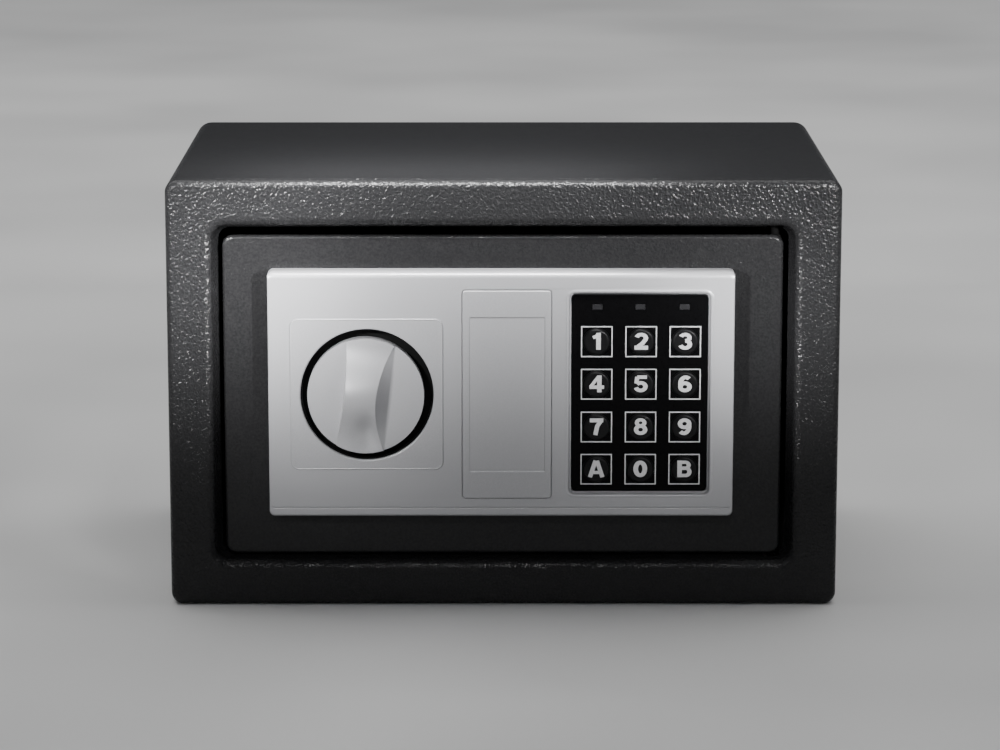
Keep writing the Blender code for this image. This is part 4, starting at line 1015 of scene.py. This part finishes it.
def make_knob():
    """A disc with a waisted, drafted grip that sinks into it at both ends, and its shaft."""
    skin = Skin()
    under, sides = -4 * MM, 160
    outlines = []
    for n in range(GRIP_SLICES + 1):
        along = GRIP_REACH * (2 * n / GRIP_SLICES - 1)
        outline = []
        for across, rise in [*grip_section(along), (-GRIP_REACH, under), (GRIP_REACH, under)]:
            x = across * math.cos(GRIP_LEAN) + along * math.sin(GRIP_LEAN)
            z = along * math.cos(GRIP_LEAN) - across * math.sin(GRIP_LEAN)
            outline.append(at(KNOB_X + x, KNOB_FRONT - rise, KNOB_Z + z))
        outlines.append(outline)
    for end in skin.run(outlines):
        skin.shape.faces.new(end)
    back = at(KNOB_X, 2.7 * MM, KNOB_Z)
    disc = rod(at(KNOB_X, KNOB_FRONT - 20 * MM, KNOB_Z), back, KNOB_RADIUS, sides)
    mesh = combined(skin.mesh("grip"), [disc], "INTERSECT")
    base = rod(at(KNOB_X, 0.5 * MM, KNOB_Z), back, KNOB_RADIUS, sides)
    mesh = combined(mesh, [base], "UNION")
    soften(add_piece("knob_moulding", mesh, "knob_set", "silver_plastic", ["knob"], 30), 0.4 * MM, 3, 38)
    profile = pin_profile(6 * MM, 2.75 * MM, 11.6 * MM, 0.4 * MM)
    turned("knob_shaft", profile, at(KNOB_X, 0, KNOB_Z), (0, 1, 0), "knob_set", "zinc_steel", (), 48)


# ---- Key cover and lock ----


def make_key_cover():
    """A silver plate with a shallow recess in its middle."""
    x0, x1, front, back, z0, z1 = limits("key_cover")
    area, corner, edge = (x0, x1, z0, z1), 1.5 * MM, 0.45 * MM
    skin = Skin()
    outlines = [inset(area, 0, corner, back)]
    outlines += [inset(area, by, corner, front + drop) for by, drop in round_over(edge, 5)]
    rear, face = skin.run(outlines)
    recess = (x0 + 3.0 * MM, x1 - 2.7 * MM, z0 + 12.3 * MM, z1 - 12.2 * MM)
    steps = in_mm((0, 0), (0.12, 0.08), (0.35, 0.42), (0.5, 0.5))
    lip, floor = skin.run([inset(recess, by, 0.8 * MM, front + drop) for by, drop in steps])
    skin.fill(face, lip)
    skin.fill(floor)
    skin.fill(rear)
    add_piece("key_cover_moulding", skin.mesh("cover"), "cover", "silver_plastic", ["key_cover"], 50)


def make_lock():
    """The emergency lock's barrel, and its plug with a keyway."""
    start = depths_of("lock_cylinder")[0]
    bore, rim, length, lead = 6.2 * MM, LOCK_RADIUS, 22.4 * MM, 0.25 * MM
    profile = [(bore, lead), (bore + 0.3 * MM, 0), (rim - 0.5 * MM, 0), (rim, 0.4 * MM), (rim, length)]
    profile += [(bore, length), (bore, lead)]
    origin = at(LOCK_X, start, LOCK_Z)
    turned("lock_barrel", profile, origin, (0, 1, 0), "door", "zinc_steel", ["lock_cylinder"])
    core = rod(origin, origin + Vector((0, 24.3 * MM, 0)), 6 * MM, 64)
    cuts = []
    # the keyway and the ward beside it: x0, x1, z0 and z1 in millimetres from the plug's middle
    for x0, x1, z0, z1 in ((-0.8, 0.8, -3.4, 3.4), (-1.6, 0.4, -1.0, 0.4)):
        sides = LOCK_X + x0 * MM, LOCK_X + x1 * MM
        cuts.append(block(*sides, start - 1 * MM, 17 * MM, LOCK_Z + z0 * MM, LOCK_Z + z1 * MM))
    mesh = combined(core, cuts, "DIFFERENCE")
    soften(add_piece("lock_core_brass", mesh, "lock_core", "brass", ["lock_plug"]), 0.15 * MM)


# ---- Inside of the door ----


def make_inner_cover():
    """A formed cover with a flange, rounded bends, stiffening ribs and holes for bolts, lid and button."""
    x0, x1, front, back, z0, z1 = limits("inner_cover")
    sheet, flange, side, corner = mm(1.5, 4.8, 1.7, 5)
    draft, bend, foot = 0.8 * MM, 4 * MM, front + sheet
    wall = (x0 + side, x1 - side, z0 + flange, z1 - flange)
    skin = Skin()
    outlines = [inset((x0, x1, z0, z1), 0, 2 * MM, foot)]
    outlines += [inset(wall, by, corner, foot + up) for by, up in in_mm((-0.9, 0), (-0.25, 0.25), (0, 0.9))]
    outlines += [inset(wall, draft + by, corner + draft, back - drop) for by, drop in round_over(bend, 8)]
    _, face = skin.run(outlines)
    holes = [skin.ring(rounded(*area_of("battery_tray", -1.2 * MM), 1.5 * MM, back, 6))]
    holes.append(skin.ring(circle(*middle_of("reset_button"), 4.5 * MM, back, 48)))
    steps = in_mm((0, 0), (0.5, 0.15), (1.1, 0.75), (1.6, 0.9))
    rib_low, rib_pitch = 52, 24  # millimetres
    for n in range(5):
        z = rib_low * MM + n * rib_pitch * MM
        rib = (x0 + 22 * MM, x0 + 112 * MM, z, z + 5 * MM)
        lip, floor = skin.run([inset(rib, by, 2.4 * MM, back - drop, 8) for by, drop in steps])
        skin.fill(floor)
        holes.append(lip)
    skin.fill(face, *holes)
    mesh = skin.mesh("inner")
    facing = max(mesh.polygons, key=lambda polygon: polygon.center.y)
    mesh = thickened(mesh, sheet, facing, 1)
    mesh = combined(mesh, bolt_holes(x0 - 4 * MM, x0 + 8 * MM, BOLT_RADIUS + 0.9 * MM), "DIFFERENCE")
    add_piece("inner_cover_moulding", mesh, "door", "black_plastic", ["inner_cover"], 30)


def make_cover_screws():
    """Pan-head screws with a cross recess."""
    shank, slot, slot_half_width, slot_depth = mm(1.3, 1.25, 0.28, 0.9)
    for number in range(1, 5):
        node = f"cover_screw_{number}"
        x0, x1, front, back, _, _ = limits(node)
        x, z = middle_of(node)
        radius = (x1 - x0) / 2
        profile = [(0, back), (radius * 0.45, back - 0.05 * MM), (radius * 0.8, back - 0.35 * MM)]
        profile += [(radius, back - 0.9 * MM), (radius, back - 1.55 * MM), (shank, back - 1.6 * MM)]
        profile += [(shank, front), (0, front)]
        mesh = turned_mesh("screw", profile, at(x, 0, z), (0, 1, 0), 32)
        cuts = []
        for wide, tall in ((slot, slot_half_width), (slot_half_width, slot)):
            cuts.append(block(x - wide, x + wide, back - slot_depth, back + 1 * MM, z - tall, z + tall))
        mesh = combined(mesh, cuts, "DIFFERENCE")
        add_piece(node + "_head", mesh, "door", "zinc_steel", [node])


def make_bolts():
    """Turned bolts with a chamfered nose."""
    for place in ("upper", "lower"):
        node = "bolt_" + place
        low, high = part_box(node)
        length, radius = high.x - low.x, (high.z - low.z) / 2
        origin = Vector((low.x, (low.y + high.y) / 2, (low.z + high.z) / 2))
        nose = 1.4 * MM
        profile = [(0, 0), (radius - nose - 0.4 * MM, 0), (radius - nose, 0.1 * MM)]
        profile += [(radius - 0.25 * MM, nose - 0.1 * MM), (radius, nose + 0.3 * MM)]
        profile += [(radius, length), (0, length)]
        turned(node + "_steel", profile, origin, (1, 0, 0), "carriage", "zinc_steel", [node])


def make_bolt_guide():
    """The angle on the door's back that both bolts slide through."""
    x0, x1, front, back, z0, z1 = limits("bolt_guide")
    arms = block(x0, x0 + SHEET, front, back, z0, z1), block(x0 + SHEET / 2, x1, front, front + SHEET, z0, z1)
    holes = x0 - SHEET, x0 + 2 * SHEET, BOLT_RADIUS + 0.4 * MM
    make_angle("bolt_guide", "door", "zinc_steel", arms, holes, 0.3 * MM)


def make_battery_lid():
    """A flat lid with seven grip grooves."""
    x0, x1, front, back, z0, z1 = limits("battery_lid")
    area, corner = (x0, x1, z0, z1), 2 * MM
    skin = Skin()
    outlines = [inset(area, 0, corner, front)]
    outlines += [inset(area, by, corner, back - drop) for by, drop in round_over(0.6 * MM, 4)]
    rear, face = skin.run(outlines)
    middle, reach, pitch = (x0 + x1) / 2, 14 * MM, 2.6  # the pitch is in millimetres
    grooves = []
    for n in range(7):
        z = z0 + 8 * MM + n * pitch * MM
        groove = (middle - reach, middle + reach, z, z + 1.3 * MM)
        steps = in_mm((0, 0), (0.25, 0.45))
        lip, floor = skin.run([inset(groove, by, 0.6 * MM, back - drop, 4) for by, drop in steps])
        skin.fill(floor)
        grooves.append(lip)
    skin.fill(face, *grooves)
    skin.fill(rear)
    add_piece("battery_lid_moulding", skin.mesh("lid"), "lid", "black_plastic", ["battery_lid"])


def make_batteries():
    """Four cells in their tray, every second one the other way up."""
    for number in range(1, 5):
        node = f"battery_{number}"
        low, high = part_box(node)
        radius, length = (high.x - low.x) / 2, high.z - low.z
        up = number % 2 == 1
        foot = Vector(((low.x + high.x) / 2, (low.y + high.y) / 2, low.z if up else high.z))
        way = (0, 0, 1 if up else -1)
        sleeve = [
            (radius - 1.6 * MM, 0.3 * MM), (radius - 0.3 * MM, 0.25 * MM), (radius, 0.7 * MM),
            (radius, length - 1.9 * MM), (radius - 0.5 * MM, length - 1.3 * MM),
            (radius - 1.8 * MM, length - 1.25 * MM), (radius - 1.6 * MM, 0.3 * MM),
        ]
        turned(node + "_sleeve", sleeve, foot, way, "door", "cell_wrap", [node], 48)
        core = radius - 1.85 * MM
        can = [
            (0, 0.1 * MM), (core, 0.1 * MM), (core, length - 1.35 * MM), (2.8 * MM, length - 1.3 * MM),
            (2.7 * MM, length - 0.2 * MM), (2.4 * MM, length), (0, length),
        ]
        turned(node + "_can", can, foot, way, "door", "cell_metal", (), 48)


def make_reset_button():
    low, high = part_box("reset_button")
    radius, length = (high.x - low.x) / 2, high.y - low.y
    origin = Vector(((low.x + high.x) / 2, low.y, (low.z + high.z) / 2))
    profile = [(0, 0), (radius, 0), (radius, length - 0.6 * MM), (radius - 0.2 * MM, length - 0.15 * MM)]
    profile += [(radius - 0.6 * MM, length), (radius * 0.5, length - 0.25 * MM), (0, length - 0.35 * MM)]
    turned("reset_button_cap", profile, origin, (0, 1, 0), "reset", "red_plastic", ["reset_button"], 48)


make_camera()
make_floor()
make_lights()

make_body_shell()
make_back_panel()
make_front_frame()
make_strike_plate()
make_floor_mat()

make_door_plate()
make_hinge_arms()
make_front_panel()
make_knob_well()
make_keypad()
make_knob()
make_key_cover()
make_lock()
make_inner_cover()
make_cover_screws()
make_bolts()
make_bolt_guide()
make_battery_lid()
make_batteries()
make_reset_button()
dress_kept_nodes()
